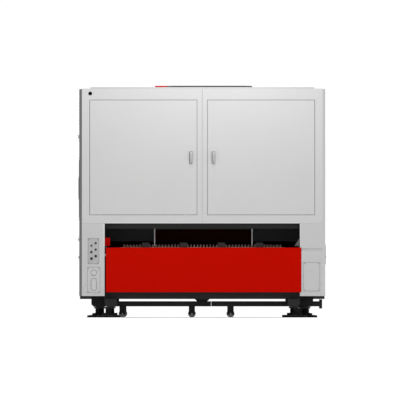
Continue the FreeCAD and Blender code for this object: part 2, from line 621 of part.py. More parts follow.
def make_service_panels():
    """Plates on the posts: six service ports, a cover with knock-outs, a box cover and their screws."""
    rear = "-body_length / 2"
    face = f"{rear} - plate_sheet"
    plate = block("PortPlateSheet", ("plate_left", "plate_right"), (face, rear), ("plate_low", "plate_high"))
    bores = []
    unions = []
    for index, (across, high, radius) in enumerate(PORTS):
        bores.append(rod(f"PortBore{index}", "y", str(radius), "plate_sheet", across, face, str(high)))
        outer = rod(f"PortBody{index}", "y", str(radius), "plate_sheet + port_reach", across,
                    f"{face} - port_reach", str(high))
        inner = rod(f"PortHole{index}", "y", f"{radius} - port_wall", "plate_sheet + port_reach", across,
                    f"{face} - port_reach", str(high))
        unions.append(cut(f"PortUnion{index}", outer, inner))
    keep("connector_plate", cut("PortPlate", plate, group("PortBores", bores)))
    keep("service_ports", group("Ports", unions))

    cover = block("CoverSheet", ("cover_left", "cover_right"), (face, rear), ("cover_low", "cover_high"))
    disc = rod("KnockoutDisc", "y", "knockout_radius", "knockout_proud", "knockout_x",
               f"{face} - knockout_proud", "knockout_z")
    ends = [rod(f"SlotEnd{name}", "y", "slot_radius", "knockout_proud", "knockout_x",
                f"{face} - knockout_proud", z)
            for name, z in (("Low", "slot_low + slot_radius"), ("High", "slot_high - slot_radius"))]
    middle = block("SlotMiddle", ("knockout_x - slot_radius", "knockout_x + slot_radius"),
                   (f"{face} - knockout_proud", face), ("slot_low + slot_radius", "slot_high - slot_radius"))
    keep("service_cover", group("ServiceCover", [cover, disc, fuse("SlotCover", ends + [middle])]))
    keep("right_service_cover", block("BoxCover", ("box_left", "box_right"), (face, rear),
                                      ("box_low", "box_high")))
    corners = []
    plates = (("plate_left", "plate_right", "plate_low", "plate_high"),
              ("cover_left", "cover_right", "cover_low", "cover_high"),
              ("box_left", "box_right", "box_low", "box_high"))
    for number, (left, right, low, high) in enumerate(plates):
        for place_index, (x, z) in enumerate(((f"{left} + screw_inset", f"{low} + screw_inset"),
                                              (f"{right} - screw_inset", f"{low} + screw_inset"),
                                              (f"{left} + screw_inset", f"{high} - screw_inset"),
                                              (f"{right} - screw_inset", f"{high} - screw_inset"))):
            corners.append(rod(f"Screw{number}{place_index}", "y", "screw_radius", "screw_proud",
                               x, f"{face} - screw_proud", z))
    keep("cover_screws", group("Screws", corners))


def make_duct():
    """Round dust duct under the middle of the bed, closed at the cabinet end, with an outlet collar."""
    pipe = rod("DuctPipe", "y", "duct_radius", "duct_end - duct_start", "0", "duct_start", "duct_high")
    bore = rod("DuctBore", "y", "duct_radius - duct_wall", "duct_end - duct_start", "0",
               "duct_start + duct_wall", "duct_high")
    collar = rod("DuctCollar", "y", "collar_radius", "collar_thick", "0", "duct_end - 60", "duct_high")
    keep("exhaust_duct", cut("Duct", fuse("DuctOutside", [pipe, collar]), bore))


def make_tracks():
    """Guide rails for the gantry on the beams and slide tracks for the pallet inside them."""
    keep("guide_rails", group("Guides", both_sides("Guide", ("guide_inner", "guide_outer"),
                                                   ("guide_start", "guide_end"), ("beam_top", "guide_high"))))
    ends = ("-body_length / 2 + beam_inset + end_beam_depth + 10",
            "body_length / 2 - beam_inset - end_beam_depth - 10")
    keep("pallet_tracks", group("Tracks", both_sides("Track", ("track_inner", "beam_inner"), ends,
                                                     ("track_low", "track_high"))))


def ring(name, x, y, z, border_y, border_z):
    """A flat frame in the YZ plane, with its window inset by the two borders."""
    sheet = block(name + "Sheet", x, y, z)
    window = block(name + "Window", (f"{x[0]} - 1", f"{x[1]} + 1"),
                   (f"{y[0]} + {border_y}", f"{y[1]} - {border_y}"),
                   (f"{z[0]} + {border_z}", f"{z[1]} - {border_z}"))
    return cut(name, sheet, window)


def make_left_side():
    """Rails of the sliding door, the fixed window beside it and the recessed console."""
    wall = "-body_width / 2"
    proud = f"{wall} - slide_rail_proud"
    along = ("slide_rail_start", "slide_door_end + 20")
    rails = []
    slot_x = ("-slide_door_back - slide_door_thick - touch_gap", "-slide_door_back + touch_gap")
    for name, outside, lip in (("Foot", ("slide_door_low - slide_rail_high", "slide_door_low + slide_lip"),
                                ("slide_door_low", "slide_door_low + slide_lip + 1")),
                               ("Head", ("slide_door_high - slide_lip", "slide_door_high + slide_rail_high"),
                                ("slide_door_high - slide_lip - 1", "slide_door_high"))):
        bar = block("Rail" + name, (proud, wall), along, outside)
        slot = block("RailSlot" + name, slot_x, (f"{along[0]} - 1", f"{along[1]} + 1"), lip)
        rails.append(cut("SlideRail" + name, bar, slot))
    keep("side_door_rails", group("SlideRails", rails))
    pane_y = ("pane_start - 10", "pane_end + 10")
    pane_z = ("slide_door_low", "slide_door_high")
    keep("window_frame", ring("WindowFrame", ("-slide_door_back - slide_door_thick", wall), pane_y, pane_z,
                              "view_border", "view_border * 1.5"))
    keep("window_pane", block("WindowPane", (wall, f"{wall} + wall_sheet"), ("pane_start", "pane_end"),
                              ("side_open_low", "side_open_high")))
    deep = f"{wall} + console_deep"
    opening_y = ("console_start", "console_end")
    opening_z = ("console_low", "console_high")
    shell = block("ConsoleShell", (wall, deep), opening_y, opening_z)
    hollow = block("ConsoleHollow", (f"{wall} - 1", f"{deep} - wall_sheet"),
                   ("console_start + wall_sheet", "console_end - wall_sheet"),
                   ("console_low + wall_sheet", "console_high - wall_sheet"))
    recess = cut("Console", shell, hollow)
    panel = f"{deep} - wall_sheet"
    keep("console_screen", block("Screen", (f"{panel} - 8", panel),
                                 ("console_start + 40", "console_end - 40"),
                                 ("console_low + 230", "console_high - 40")))
    collar_z = "console_low + 110"
    collars = []
    for name, y, radius in (("Stop", "console_start + 120", "button_collar + 6"),
                            ("Start", "console_start + 250", "start_radius + 6")):
        ring_body = rod("Collar" + name, "x", radius, "6", f"{panel} - 6", y, collar_z)
        shaft = {"Stop": "button_collar", "Start": "start_radius"}[name]
        hole = rod("CollarHole" + name, "x", f"{shaft} + running_gap", "6", f"{panel} - 6", y, collar_z)
        collars.append(cut("ButtonCollar" + name, ring_body, hole))
    keep("console_recess", group("ConsoleGroup", [recess] + collars))
    stop = turned("StopButton", [("0", "0"), ("button_collar", "0"), ("button_collar", "14"),
                                 ("button_radius", "16"), ("button_radius", "23"),
                                     ("button_radius - 5", "27"),
                                 ("0", "27")])
    start = turned("StartButton", [("0", "0"), ("start_radius", "0"), ("start_radius", "10"),
                                   ("start_radius - 1", "11"), ("0", "11")])
    for label, button, y, clear in (("emergency_stop", stop, "console_start + 120", "5"),
                                    ("start_button", start, "console_start + 250", "4")):
        button.Placement.Rotation = FreeCAD.Rotation(FreeCAD.Vector(0, 1, 0), -90)
        place(button, f"{panel} - {clear}", y, collar_z)
        keep(label, button)


def make_rear_doors():
    """Door leaves as folded pans on top and bottom pins, with swing handles."""
    rear = "-body_length / 2"
    pins = []
    for label, side in (("left", -1), ("right", 1)):
        edges = [("door_inner", "door_low"), ("door_outer", "door_low"),
                 ("door_outer", "door_high"), ("door_inner", "door_high")]
        pan = [("door_inner + door_border", "door_low + door_border"),
               ("door_outer - door_border", "door_low + door_border"),
               ("door_outer - door_border", "door_high - door_border"),
               ("door_inner + door_border", "door_high - door_border")]

        def mirrored(points):
            return [(f"{side} * ({x})", z) for x, z in points]

        body = padded("Leaf" + label, "XZ_Plane", mirrored(edges), "door_depth")
        pocket(body, "XZ_Plane", "Pan" + label, lambda sketch: outline(sketch, mirrored(pan)),
               "door_depth - door_skin", reverse=True)
        place(body, y=f"{rear} + door_depth")
        pin_x = f"{side} * (door_outer - pin_inset)"
        bores = []
        for end, z, reach in (("Low", "door_low", "pin_reach"),
                              ("High", "door_high - pin_reach", "pin_reach")):
            bores.append(rod(f"LeafBore{label}{end}", "z", "pin_radius + running_gap", reach,
                             pin_x, f"{rear} + pin_back", z))
        leaf = cut("Door" + label, body, group("LeafBores" + label, bores))
        edge = "door_inner + handle_inset"
        across = (edge, f"{edge} + handle_width")
        if side < 0:
            across = (f"-({across[1]})", f"-({across[0]})")
        base = block("HandleBase" + label, across, (f"{rear} - handle_base", rear),
                     ("handle_low", "handle_low + handle_height"))
        centre = f"{side} * ({edge} + handle_width / 2)"
        pivot_z = "handle_low + handle_height - pivot_drop"
        stub = rod("Pivot" + label, "y", "pivot_radius", "lever_proud - 3", centre,
                   f"{rear} - handle_base - lever_proud + 3", pivot_z)
        handle = fuse("Handle" + label, [base, stub])
        keep("rear_door_" + label, group("RearDoor" + label, [leaf, handle]))
        section = [("0", "6 - lever_length"), ("-lever_proud * 0.55", "6 - lever_length"),
                   ("-lever_proud", "18 - lever_length"), ("-lever_proud", "8"), ("-lever_proud + 3", "11"),
                   ("0", "11")]
        lever = padded("Lever" + label, "YZ_Plane", section, "lever_width")
        place(lever, f"{centre} - lever_width / 2", f"{rear} - handle_base - touch_gap", pivot_z)
        socket = rod("LeverBore" + label, "y", "pivot_radius + running_gap", "lever_proud", centre,
                     f"{rear} - handle_base - touch_gap - lever_proud + 2", pivot_z)
        keep("handle_lever_" + label, cut("LeverCut" + label, lever, socket))
        for end, z in (("Low", "door_low - door_gap - pin_reach"), ("High", "door_high - pin_reach")):
            pins.append(rod(f"Pin{label}{end}", "z", "pin_radius", "2 * pin_reach + door_gap",
                            pin_x, f"{rear} + pin_back", z))
    keep("rear_door_pins", group("DoorPins", pins))


def make_side_doors():
    """Left sliding door with its laser-safe window and grip, and the right hinged service door."""
    wall = "-body_width / 2"
    x = ("-slide_door_back - slide_door_thick", "-slide_door_back")
    frame = ring("SlideDoor", x, ("slide_door_start", "slide_door_end"),
                 ("slide_door_low", "slide_door_high"),
                 "view_border", "view_border * 1.5")
    keep("side_door_window", block("SlideDoorPane", ("-slide_door_back - glass_thick - 1",
                                                     "-slide_door_back - 1"),
                                   ("slide_door_start + view_border", "slide_door_end - view_border"),
                                   ("slide_door_low + view_border * 1.5",
                                    "slide_door_high - view_border * 1.5")))
    grip_y = "slide_door_end - view_border / 2"
    grip = block("SlideGrip", (f"{x[0]} - grip_proud", x[0]),
                 (f"{grip_y} - grip_half", f"{grip_y} + grip_half"),
                 ("grip_low", "grip_high"))
    keep("side_door", group("SideDoor", [frame, grip]))
    leaf = block("ServiceLeaf", ("body_width / 2 - wall_sheet", "body_width / 2"),
                 ("-side_door_half", "side_door_half"), ("side_door_low", "side_door_high"))
    pieces = [leaf]
    for index, middle in enumerate(("hinge_low", "hinge_high")):
        knuckle = rod(f"MovingKnuckle{index}", "z", "hinge_radius", "knuckle", "body_width / 2 + hinge_out",
                      "-side_door_half", middle)
        bore = rod(f"KnuckleBore{index}", "z", "hinge_pin + running_gap", "knuckle",
                   "body_width / 2 + hinge_out", "-side_door_half", middle)
        wing = block(f"MovingLeaf{index}", ("body_width / 2", "body_width / 2 + hinge_leaf"),
                     ("-side_door_half + 3", "-side_door_half + hinge_span"),
                     (middle, f"{middle} + knuckle"))
        pieces.append(cut(f"MovingHinge{index}", fuse(f"MovingHalf{index}", [knuckle, wing]), bore))
    pieces.append(block("ServiceGrip", ("body_width / 2", "body_width / 2 + side_knob_proud"),
                        ("side_door_half - pull_bar_near", "side_door_half - pull_bar_far"),
                        ("pull_bar_low", "pull_bar_high")))
    keep("service_door", group("ServiceDoor", pieces))
    face = "body_length / 2 + guard_gap"
    keep("loading_guard", block("GuardSheet", ("-guard_half", "guard_half"), (face, f"{face} + guard_thick"),
                                ("guard_low", "guard_high")))


def make_gantry():
    """Box beam with end blocks on the guides, the carriage on its face and the cutting head."""
    y = ("gantry_y - gantry_half", "gantry_y + gantry_half")
    outer = block("GantryTube", ("-guide_inner + 20", "guide_inner - 20"), y, ("gantry_low", "gantry_high"))
    bore = block("GantryBore", ("-guide_inner + 10", "guide_inner - 10"),
                 (f"{y[0]} + gantry_wall", f"{y[1]} - gantry_wall"),
                 ("gantry_low + gantry_wall", "gantry_high - gantry_wall"))
    beam = [cut("GantryBeam", outer, bore)]
    beam += both_sides("EndBlock", ("guide_inner - 20", "gantry_end"), (f"{y[0]} - 60", f"{y[1]} + 60"),
                       ("guide_high", "gantry_high"))
    for name, z in (("Low", "gantry_low + 20"), ("High", "gantry_high - 50")):
        beam.append(block("FaceRail" + name, ("-guide_inner + 60", "guide_inner - 60"),
                          (y[1], f"{y[1]} + face_rail"), (z, f"{z} + 30")))
    keep("gantry_beam", group("Gantry", beam))
    face = f"{y[1]} + face_rail"
    x = ("carriage_x - carriage_half", "carriage_x + carriage_half")
    keep("carriage", block("Carriage", x, (face, f"{face} + carriage_depth"),
                           ("gantry_low - 10", "gantry_high + 60")))
    front = f"{face} + carriage_depth"
    slide = block("ZSlide", ("carriage_x - slide_half", "carriage_x + slide_half"),
                  (front, f"{front} + slide_depth"), ("slide_low", "slide_high"))
    head = turned("Head", [("0", "tip_low"), ("tip_radius", "tip_low"), ("tip_radius + 9", "head_low - 12"),
                           ("head_radius - 10", "head_low"), ("head_radius - 10", "slide_low - 20"),
                           ("head_radius", "slide_low - 10"), ("head_radius", "slide_high - 60"),
                           ("head_radius - 14", "slide_high - 40"), ("head_radius - 14", "slide_high + 40"),
                           ("0", "slide_high + 40")])
    place(head, "carriage_x", f"{front} + slide_depth + head_radius")
    keep("cutting_head", group("HeadGroup", [slide, head]))


def make_pallet():
    """Pallet table: side and end rails, four rests and the toothed slats standing in it."""
    inner = "(track_inner - touch_gap)"
    low = "track_high"
    y = ("pallet_start", "pallet_start + pallet_length")
    pieces = both_sides("PalletSide", (f"{inner} - pallet_rail", f"{inner} + 30"), y, (low, "pallet_high"))
    for name, ends in (("Near", (y[0], f"{y[0]} + lump_depth")), ("Far", (f"{y[1]} - lump_depth", y[1]))):
        pieces.append(block("PalletEnd" + name, (f"-{inner} + pallet_rail", f"{inner} - pallet_rail"), ends,
                            (low, "pallet_high")))
    for index in range(int(size("lump_count"))):
        middle = f"({index} - (lump_count - 1) / 2) * lump_pitch + 2"
        pieces.append(block(f"Rest{index}", (f"{middle} - lump_width / 2", f"{middle} + lump_width / 2"),
                            (y[0], f"{y[0]} + lump_depth"), ("pallet_high", "lump_high")))
    keep("pallet_frame", group("Pallet", pieces))
    half, tip, root = size("slat_half"), size("slat_high"), size("slat_high - tooth_depth")
    pitch, gap = size("tooth_pitch"), size("tooth_gap")
    reach = size("track_inner - touch_gap - pallet_rail")
    count = int(2 * half // pitch)
    start = -count * pitch / 2
    points = [(-reach, size("slat_low")), (-reach, root)]
    for index in range(count):
        left = start + index * pitch
        points += [(left + gap / 2, root), (left + pitch / 2 - 3, tip), (left + pitch / 2 + 3, tip),
                   (left + pitch - gap / 2, root)]
    points += [(reach, root), (reach, size("slat_low"))]
    corners = [FreeCAD.Vector(x, 0, z) for x, z in points]
    face = Part.Face(Part.makePolygon(corners + corners[:1]))
    slat = face.extrude(FreeCAD.Vector(0, size("slat_thick"), 0))
    first = size("pallet_start + lump_depth + 10")
    spots = [(0, first + index * size("slat_pitch"), 0) for index in range(int(size("slat_count")))]
    keep("pallet_slats", copies("Slats", slat, spots))


def make_carts():
    """Two scrap carts on fixed casters; both wheels on one axle line share a node."""
    sides = (("left", "cart_split - cart_gap / 2 - cart_length", "cart_split - cart_gap / 2", -1),
             ("right", "cart_split + cart_gap / 2", "cart_split + cart_gap / 2 + cart_length", 1))
    y = ("cart_start", "cart_start + cart_width")
    for label, low, high, outward in sides:
        edges = [(low, y[0]), (high, y[0]), (high, y[1]), (low, y[1])]
        hollow = [(f"{x} {inward} cart_sheet", f"{end} {forward} cart_sheet") for x, inward, end, forward in
                  ((low, "+", y[0], "+"), (high, "-", y[0], "+"), (high, "-", y[1], "-"),
                   (low, "+", y[1], "-"))]
        tray = padded("Tray" + label, "XY_Plane", edges, "cart_high - cart_low")
        place(tray, z="cart_low")
        inside = padded("TrayInside" + label, "XY_Plane", hollow, "cart_high - cart_low")
        place(inside, z="cart_low + cart_sheet")
        pieces = [cut("Cart" + label, tray, inside)]
        for row, x in (("near", f"{low} + caster_inset"), ("far", f"{high} - caster_inset")):
            wheels = []
            for end, wheel_y in (("a", f"{y[0]} + caster_edge"), ("b", f"{y[1]} - caster_edge")):
                name = label + row + end
                top = block("ForkTop" + name, (f"{x} - fork_width / 2", f"{x} + fork_width / 2"),
                            (f"{wheel_y} - wheel_width / 2 - fork_gap - fork_sheet",
                             f"{wheel_y} + wheel_width / 2 + fork_gap + fork_sheet"),
                            ("cart_low - fork_sheet", "cart_low"))
                cheeks = [block(f"Cheek{number}{name}", (f"{x} - fork_width / 2",
                                                         f"{x} + fork_width / 2"), span,
                                ("wheel_radius - 8", "cart_low - fork_sheet")) for number, span in enumerate((
                                    (f"{wheel_y} - wheel_width / 2 - fork_gap - fork_sheet",
                                     f"{wheel_y} - wheel_width / 2 - fork_gap"),
                                    (f"{wheel_y} + wheel_width / 2 + fork_gap",
                                     f"{wheel_y} + wheel_width / 2 + fork_gap + fork_sheet")))]
                axle = rod("Axle" + name, "y", "axle_radius",
                           "wheel_width + 2 * fork_gap + 2 * fork_sheet", x,
                           f"{wheel_y} - wheel_width / 2 - fork_gap - fork_sheet", "wheel_radius")
                pieces.append(fuse("Fork" + name, [top, axle] + cheeks))
                wheel = turned("Wheel" + name, [("axle_radius + running_gap", "-wheel_width / 2"),
                                                ("wheel_radius - 4", "-wheel_width / 2"),
                                                ("wheel_radius", "-wheel_width / 2 + 5"),
                                                ("wheel_radius", "wheel_width / 2 - 5"),
                                                ("wheel_radius - 4", "wheel_width / 2"),
                                                ("axle_radius + running_gap", "wheel_width / 2")])
                wheel.Placement.Rotation = FreeCAD.Rotation(FreeCAD.Vector(1, 0, 0), 90)
                place(wheel, x, wheel_y, "wheel_radius")
                wheels.append(wheel)
            keep(f"{label}_cart_wheels_{row}", group(f"Wheels{label}{row}", wheels))
        start = high if outward > 0 else f"{low} - pull_reach"
        end = f"{high} + pull_reach" if outward > 0 else low
        grip_y = (f"{y[0]} + 40", f"{y[0]} + 40 + pull_width")
        pull = block("Pull" + label, (start, end), grip_y, ("pull_low", "pull_high"))
        finger = block("PullGap" + label, (f"{start} + 8" if outward < 0 else start,
                                           end if outward < 0 else f"{end} - 8"),
                       (f"{grip_y[0]} + 8", f"{grip_y[1]} - 8"), ("pull_low - 1", "pull_high + 1"))
        pieces.append(cut("PullGrip" + label, pull, finger))
        keep(f"{label}_cart", group("CartGroup" + label, pieces))


def write_parts():
    """Check the whole document, then write one STEP file for each sub-part."""
    DOC.recompute()
    for item in DOC.Objects:
        if "Invalid" in item.State or "Error" in item.State:
            raise ValueError(f"{item.Name} failed: {item.State}")
    for part in PARTS:
        if part.Shape.isNull() or not part.Shape.isValid():
            raise ValueError(part.Label + " has no valid shape")
    os.makedirs("parts", exist_ok=True)
    for part in PARTS:
        part.Shape.exportStep(f"parts/{part.Label}.step")
        print(f"{part.Label}: {len(part.Shape.Solids)} solids")


make_base()
make_legs()
make_feet()
make_posts()
make_rear_panels()
make_corner_trims()
make_side_walls()
make_roof()
make_cabinet()
make_bulkhead()
make_aprons()
make_service_panels()
make_duct()
make_tracks()
make_left_side()
make_rear_doors()
make_side_doors()
make_gantry()
make_pallet()
make_carts()
write_parts()
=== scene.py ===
"""Fiber laser cutting machine: finishes, seals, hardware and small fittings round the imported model."""
import math

import bpy
import numpy as np
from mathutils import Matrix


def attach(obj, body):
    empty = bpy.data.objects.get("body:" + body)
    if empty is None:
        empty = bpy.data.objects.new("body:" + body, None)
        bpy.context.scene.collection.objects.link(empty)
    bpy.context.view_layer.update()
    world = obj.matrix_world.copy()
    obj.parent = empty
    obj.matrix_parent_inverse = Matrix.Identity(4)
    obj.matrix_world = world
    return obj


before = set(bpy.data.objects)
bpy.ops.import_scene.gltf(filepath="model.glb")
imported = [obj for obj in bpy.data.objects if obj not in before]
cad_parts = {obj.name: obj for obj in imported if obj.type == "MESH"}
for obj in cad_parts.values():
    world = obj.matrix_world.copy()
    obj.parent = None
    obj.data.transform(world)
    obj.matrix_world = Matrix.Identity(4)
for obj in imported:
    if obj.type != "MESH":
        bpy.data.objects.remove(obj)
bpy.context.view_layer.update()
MM = 0.001

# ---------------------------------------------------------------------------------------------
# Camera, floor and light.  A long lens stands low in front of the cabinet end and looks a little
# up.  A white floor and surround light the machine softly, with four square lamps round it.
# ---------------------------------------------------------------------------------------------
scene = bpy.context.scene
scene.view_settings.view_transform = "Standard"
END_Y = -2200 * MM
VIEW_DISTANCE = 150.0  # metres, so far that both ends of the machine show at almost one scale
VIEW_HEIGHT = 190 * MM
AIM_HEIGHT = 1147 * MM
VIEW_WIDTH = 3.902
SENSOR = 36.0
camera_data = bpy.data.cameras.new("end_view")
camera_data.sensor_width = SENSOR
camera_data.lens = SENSOR * VIEW_DISTANCE / VIEW_WIDTH
camera_data.clip_end = 600
camera = bpy.data.objects.new("end_view", camera_data)
camera.location = (-22 * MM, END_Y - VIEW_DISTANCE, VIEW_HEIGHT)
camera.rotation_euler = (math.radians(90) + math.atan((AIM_HEIGHT - VIEW_HEIGHT) / VIEW_DISTANCE), 0, 0)
scene.collection.objects.link(camera)
scene.camera = camera


def linear(code):
    """Linear RGBA of an sRGB hex code: below 0.04045 divide by 12.92, above it the 2.4 power curve."""
    channels = np.array([int(code[i:i + 2], 16) for i in (1, 3, 5)]) / 255
    low = channels / 12.92
    high = ((channels + 0.055) / 1.055) ** 2.4
    return (*np.where(channels <= 0.04045, low, high), 1.0)


def lamp(name, place, aim, width, power):
    """A square soft lamp at a place, turned so that it faces a point."""
    data = bpy.data.lights.new(name, "AREA")
    data.size = width
    data.energy = power
    holder = bpy.data.objects.new(name, data)
    holder.location = place
    away = np.array(place, float) - np.array(aim, float)
    turn = math.atan2(away[0], -away[1])
    drop = math.atan2(math.hypot(away[0], away[1]), away[2])
    holder.rotation_euler = (drop, 0, turn)
    scene.collection.objects.link(holder)


lamp("high_front_lamp", (0.15, -3.55, 4.1), (0.0, -2.2, 2.0), 1.4, 92)
lamp("left_fill_lamp", (-7.0, 1.0, 4.0), (-1.2, 0, 1.2), 3.0, 60)
lamp("back_lamp", (3.0, 8.5, 5.0), (0, 2.2, 1.2), 3.0, 120)
lamp("right_fill_lamp", (7.5, 1.5, 4.0), (1.2, 0, 1.2), 3.0, 100)
surround = bpy.data.worlds.new("white_surround")
surround.use_nodes = True
surround.node_tree.nodes["Background"].inputs["Color"].default_value = (1, 1, 1, 1)
surround.node_tree.nodes["Background"].inputs["Strength"].default_value = 1.03
scene.world = surround


def grid_mesh(name, points, faces, material, body=None):
    """A mesh object from an array of points and a list of faces, riding on a body if one is named."""
    mesh = bpy.data.meshes.new(name)
    mesh.from_pydata(np.asarray(points, float).tolist(), [], faces)
    mesh.materials.append(material)
    mesh.update()
    piece = bpy.data.objects.new(name, mesh)
    scene.collection.objects.link(piece)
    if body:
        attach(piece, body)
    return piece


def floor_material():
    """Matt white studio floor."""
    material = bpy.data.materials.new("matt_white_floor")
    material.use_nodes = True
    shader = material.node_tree.nodes["Principled BSDF"]
    shader.inputs["Base Color"].default_value = linear("#ffffff")
    shader.inputs["Roughness"].default_value = 0.9
    shader.inputs["Specular IOR Level"].default_value = 0.1
    return material


REACH = 300.0
floor = grid_mesh("studio_floor",
                  [(-REACH, -REACH, 0), (REACH, -REACH, 0), (REACH, REACH, 0), (-REACH, REACH, 0)],
                  [(0, 1, 2, 3)], floor_material())

# ---------------------------------------------------------------------------------------------
# Welded bed, legs and feet.  Box-section mild steel, sprayed satin black, with fillet welds along
# the joints; phosphated screw feet with hexagon lock nuts; a round dust duct held by pipe clamps.
# ---------------------------------------------------------------------------------------------


def add(tree, kind, settings=None, **links):
    """One node of a kind with its settings, each named input fed by a socket or set to a value."""
    node = tree.nodes.new("ShaderNode" + kind)
    for key, value in (settings or {}).items():
        setattr(node, key, value)
    for key, value in links.items():
        socket = node.inputs[int(key[1:])] if key[0] == "n" and key[1:].isdigit() else node.inputs[key]
        if isinstance(value, bpy.types.NodeSocket):
            tree.links.new(value, socket)
        else:
            socket.default_value = value
    return node


def coated(name, code, roughness, peel_mm=9.0, peel_depth_mm=0.05, drift=0.03, coat=0.0, metallic=0.0,
           shine=0.5):
    """Powder coat or paint on sheet: a base tone that drifts over half a metre, and orange peel.

    Real peel is 1 to 2 mm across; it is drawn at peel_mm so that it still shows.
    """
    material = bpy.data.materials.new(name)
    material.use_nodes = True
    tree = material.node_tree
    shader = tree.nodes["Principled BSDF"]
    where = add(tree, "TexCoord").outputs["Object"]
    cloud = add(tree, "TexNoise", Vector=where, Scale=2.0, Detail=3.0, Roughness=0.5)
    base = np.array(linear(code))
    darker = tuple(base[:3] * (1 - drift)) + (1.0,)
    lighter = tuple(np.minimum(base[:3] * (1 + drift), 1)) + (1.0,)
    tone = add(tree, "Mix", {"data_type": "RGBA"}, Factor=cloud.outputs["Fac"], n6=darker, n7=lighter)
    tree.links.new(tone.outputs[2], shader.inputs["Base Color"])
    rub = add(tree, "TexNoise", Vector=where, Scale=14.0, Detail=4.0)
    gloss = add(tree, "MapRange", Value=rub.outputs["Fac"])
    gloss.inputs["To Min"].default_value = roughness * 0.88
    gloss.inputs["To Max"].default_value = min(roughness * 1.12, 1)
    tree.links.new(gloss.outputs["Result"], shader.inputs["Roughness"])
    peel = add(tree, "TexNoise", Vector=where, Scale=1 / (peel_mm * MM), Detail=1.0)
    bump = add(tree, "Bump", Height=peel.outputs["Fac"], Strength=0.35, Distance=peel_depth_mm * MM)
    tree.links.new(bump.outputs["Normal"], shader.inputs["Normal"])
    shader.inputs["Metallic"].default_value = metallic
    shader.inputs["Coat Weight"].default_value = coat
    shader.inputs["Specular IOR Level"].default_value = shine
    return material


def paint(material, *nodes):
    """Give CAD nodes a finish."""
    for node in nodes:
        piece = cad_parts[node]
        piece.data.materials.clear()
        piece.data.materials.append(material)


# Sprayed steel: near black, with a gloss that is slightly uneven from place to place.
black_paint = coated("satin_black_spray_paint", "#1d1d1e", 0.55, peel_mm=14.0, drift=0.12, shine=0.12)
paint(black_paint, "bed_frame", "leg_blocks", "exhaust_duct")
# Phosphated steel: a dull, faintly mottled black that hardly reflects.
paint(coated("phosphated_steel", "#171718", 0.7, drift=0.2, shine=0.05), "foot_screws", "foot_plates")


def stacked(rings):
    """Points and faces of a stack of equal closed rings (level, point, xyz), capped at both ends.

    Point i of ring k joins point i + 1 of its ring and the same two points of ring k + 1 in a face.
    """
    rings = np.asarray(rings, float)
    levels, count = rings.shape[:2]
    here = np.arange(levels * count).reshape(levels, count)
    ahead = np.roll(here, -1, axis=1)
    walls = np.stack((here[:-1], ahead[:-1], ahead[1:], here[1:]), axis=-1).reshape(-1, 4)
    return rings.reshape(-1, 3) * MM, walls.tolist() + [here[0, ::-1].tolist(), here[-1].tolist()]


CLOSED_POLE = 0.02


def spun(centre, axis, profile, sides=28):
    """A turned piece: ring k has radius profile[k][0] at profile[k][1] mm along the axis from the centre."""
    order = [(axis + 1) % 3, (axis + 2) % 3, axis]
    turn = np.linspace(0, 2 * math.pi, sides, endpoint=False)
    rising = profile if profile[-1][1] >= profile[0][1] else profile[::-1]
    radii, along = np.array(rising, float).T[:, :, None]
    radii = np.maximum(radii, CLOSED_POLE)
    rings = np.zeros((len(rising), sides, 3))
    rings[..., order[0]] = radii * np.cos(turn)
    rings[..., order[1]] = radii * np.sin(turn)
    rings[..., order[2]] = along
    return stacked(rings + np.array(centre, float))


def hose(path, radius, sides=10):
    """A round bar or wire carried along a path: each ring stands square to the local heading."""
    path = np.asarray(path, float)
    heading = np.gradient(path, axis=0)
    heading /= np.linalg.norm(heading, axis=1)[:, None]
    turn = np.linspace(0, 2 * math.pi, sides, endpoint=False)
    side = np.cross(heading[0], (0, 0, 1) if abs(heading[0][2]) < 0.9 else (1, 0, 0))
    rings = []
    for place, ahead in zip(path, heading):
        side = side - ahead * side.dot(ahead)
        side /= np.linalg.norm(side)
        up = np.cross(ahead, side)
        rings.append(place + radius * (np.cos(turn)[:, None] * side + np.sin(turn)[:, None] * up))
    return stacked(rings)


def fitted(name, pieces, material, body="machine", smooth=True):
    """Join (points, faces) pieces into one mesh object that rides on a body."""
    points, faces, start = [], [], 0
    for shape, around in pieces:
        points.append(shape)
        faces += [tuple(i + start for i in face) for face in around]
        start += len(shape)
    piece = grid_mesh(name, np.vstack(points), faces, material, body)
    if smooth:
        piece.data.set_sharp_from_angle(angle=math.radians(35))
    return piece


# Black-oxided steel: dark with a dull metal sheen; turned steel: bright, with fine soft highlights.
dark_steel = coated("black_oxide_steel", "#202123", 0.42, peel_mm=3.0, drift=0.1, metallic=0.7)
steel = coated("turned_steel", "#a6a8aa", 0.3, peel_mm=3.0, drift=0.06, metallic=1.0)
# Galvanised sheet: pale grey metal with a broad, cloudy variation in gloss.
zinc_sheet = coated("galvanised_sheet", "#a8aaac", 0.38, peel_mm=25.0, drift=0.1, metallic=0.7)


def weld(start, end, radius=3.0):
    """A fillet bead: a round line whose radius ripples by a twelfth every 4 mm along its length."""
    start, end = np.array(start, float), np.array(end, float)
    steps = int(np.linalg.norm(end - start) // 4) + 2
    path = start + np.linspace(0, 1, steps)[:, None] * (end - start)
    points, faces = hose(path, radius, 6)
    rings = points.reshape(steps, 6, 3)
    middle = rings.mean(axis=1, keepdims=True)
    ripple = 1 + np.where(np.arange(steps) % 2, 1, -1)[:, None, None] / 12
    return (middle + (rings - middle) * ripple).reshape(-1, 3), faces


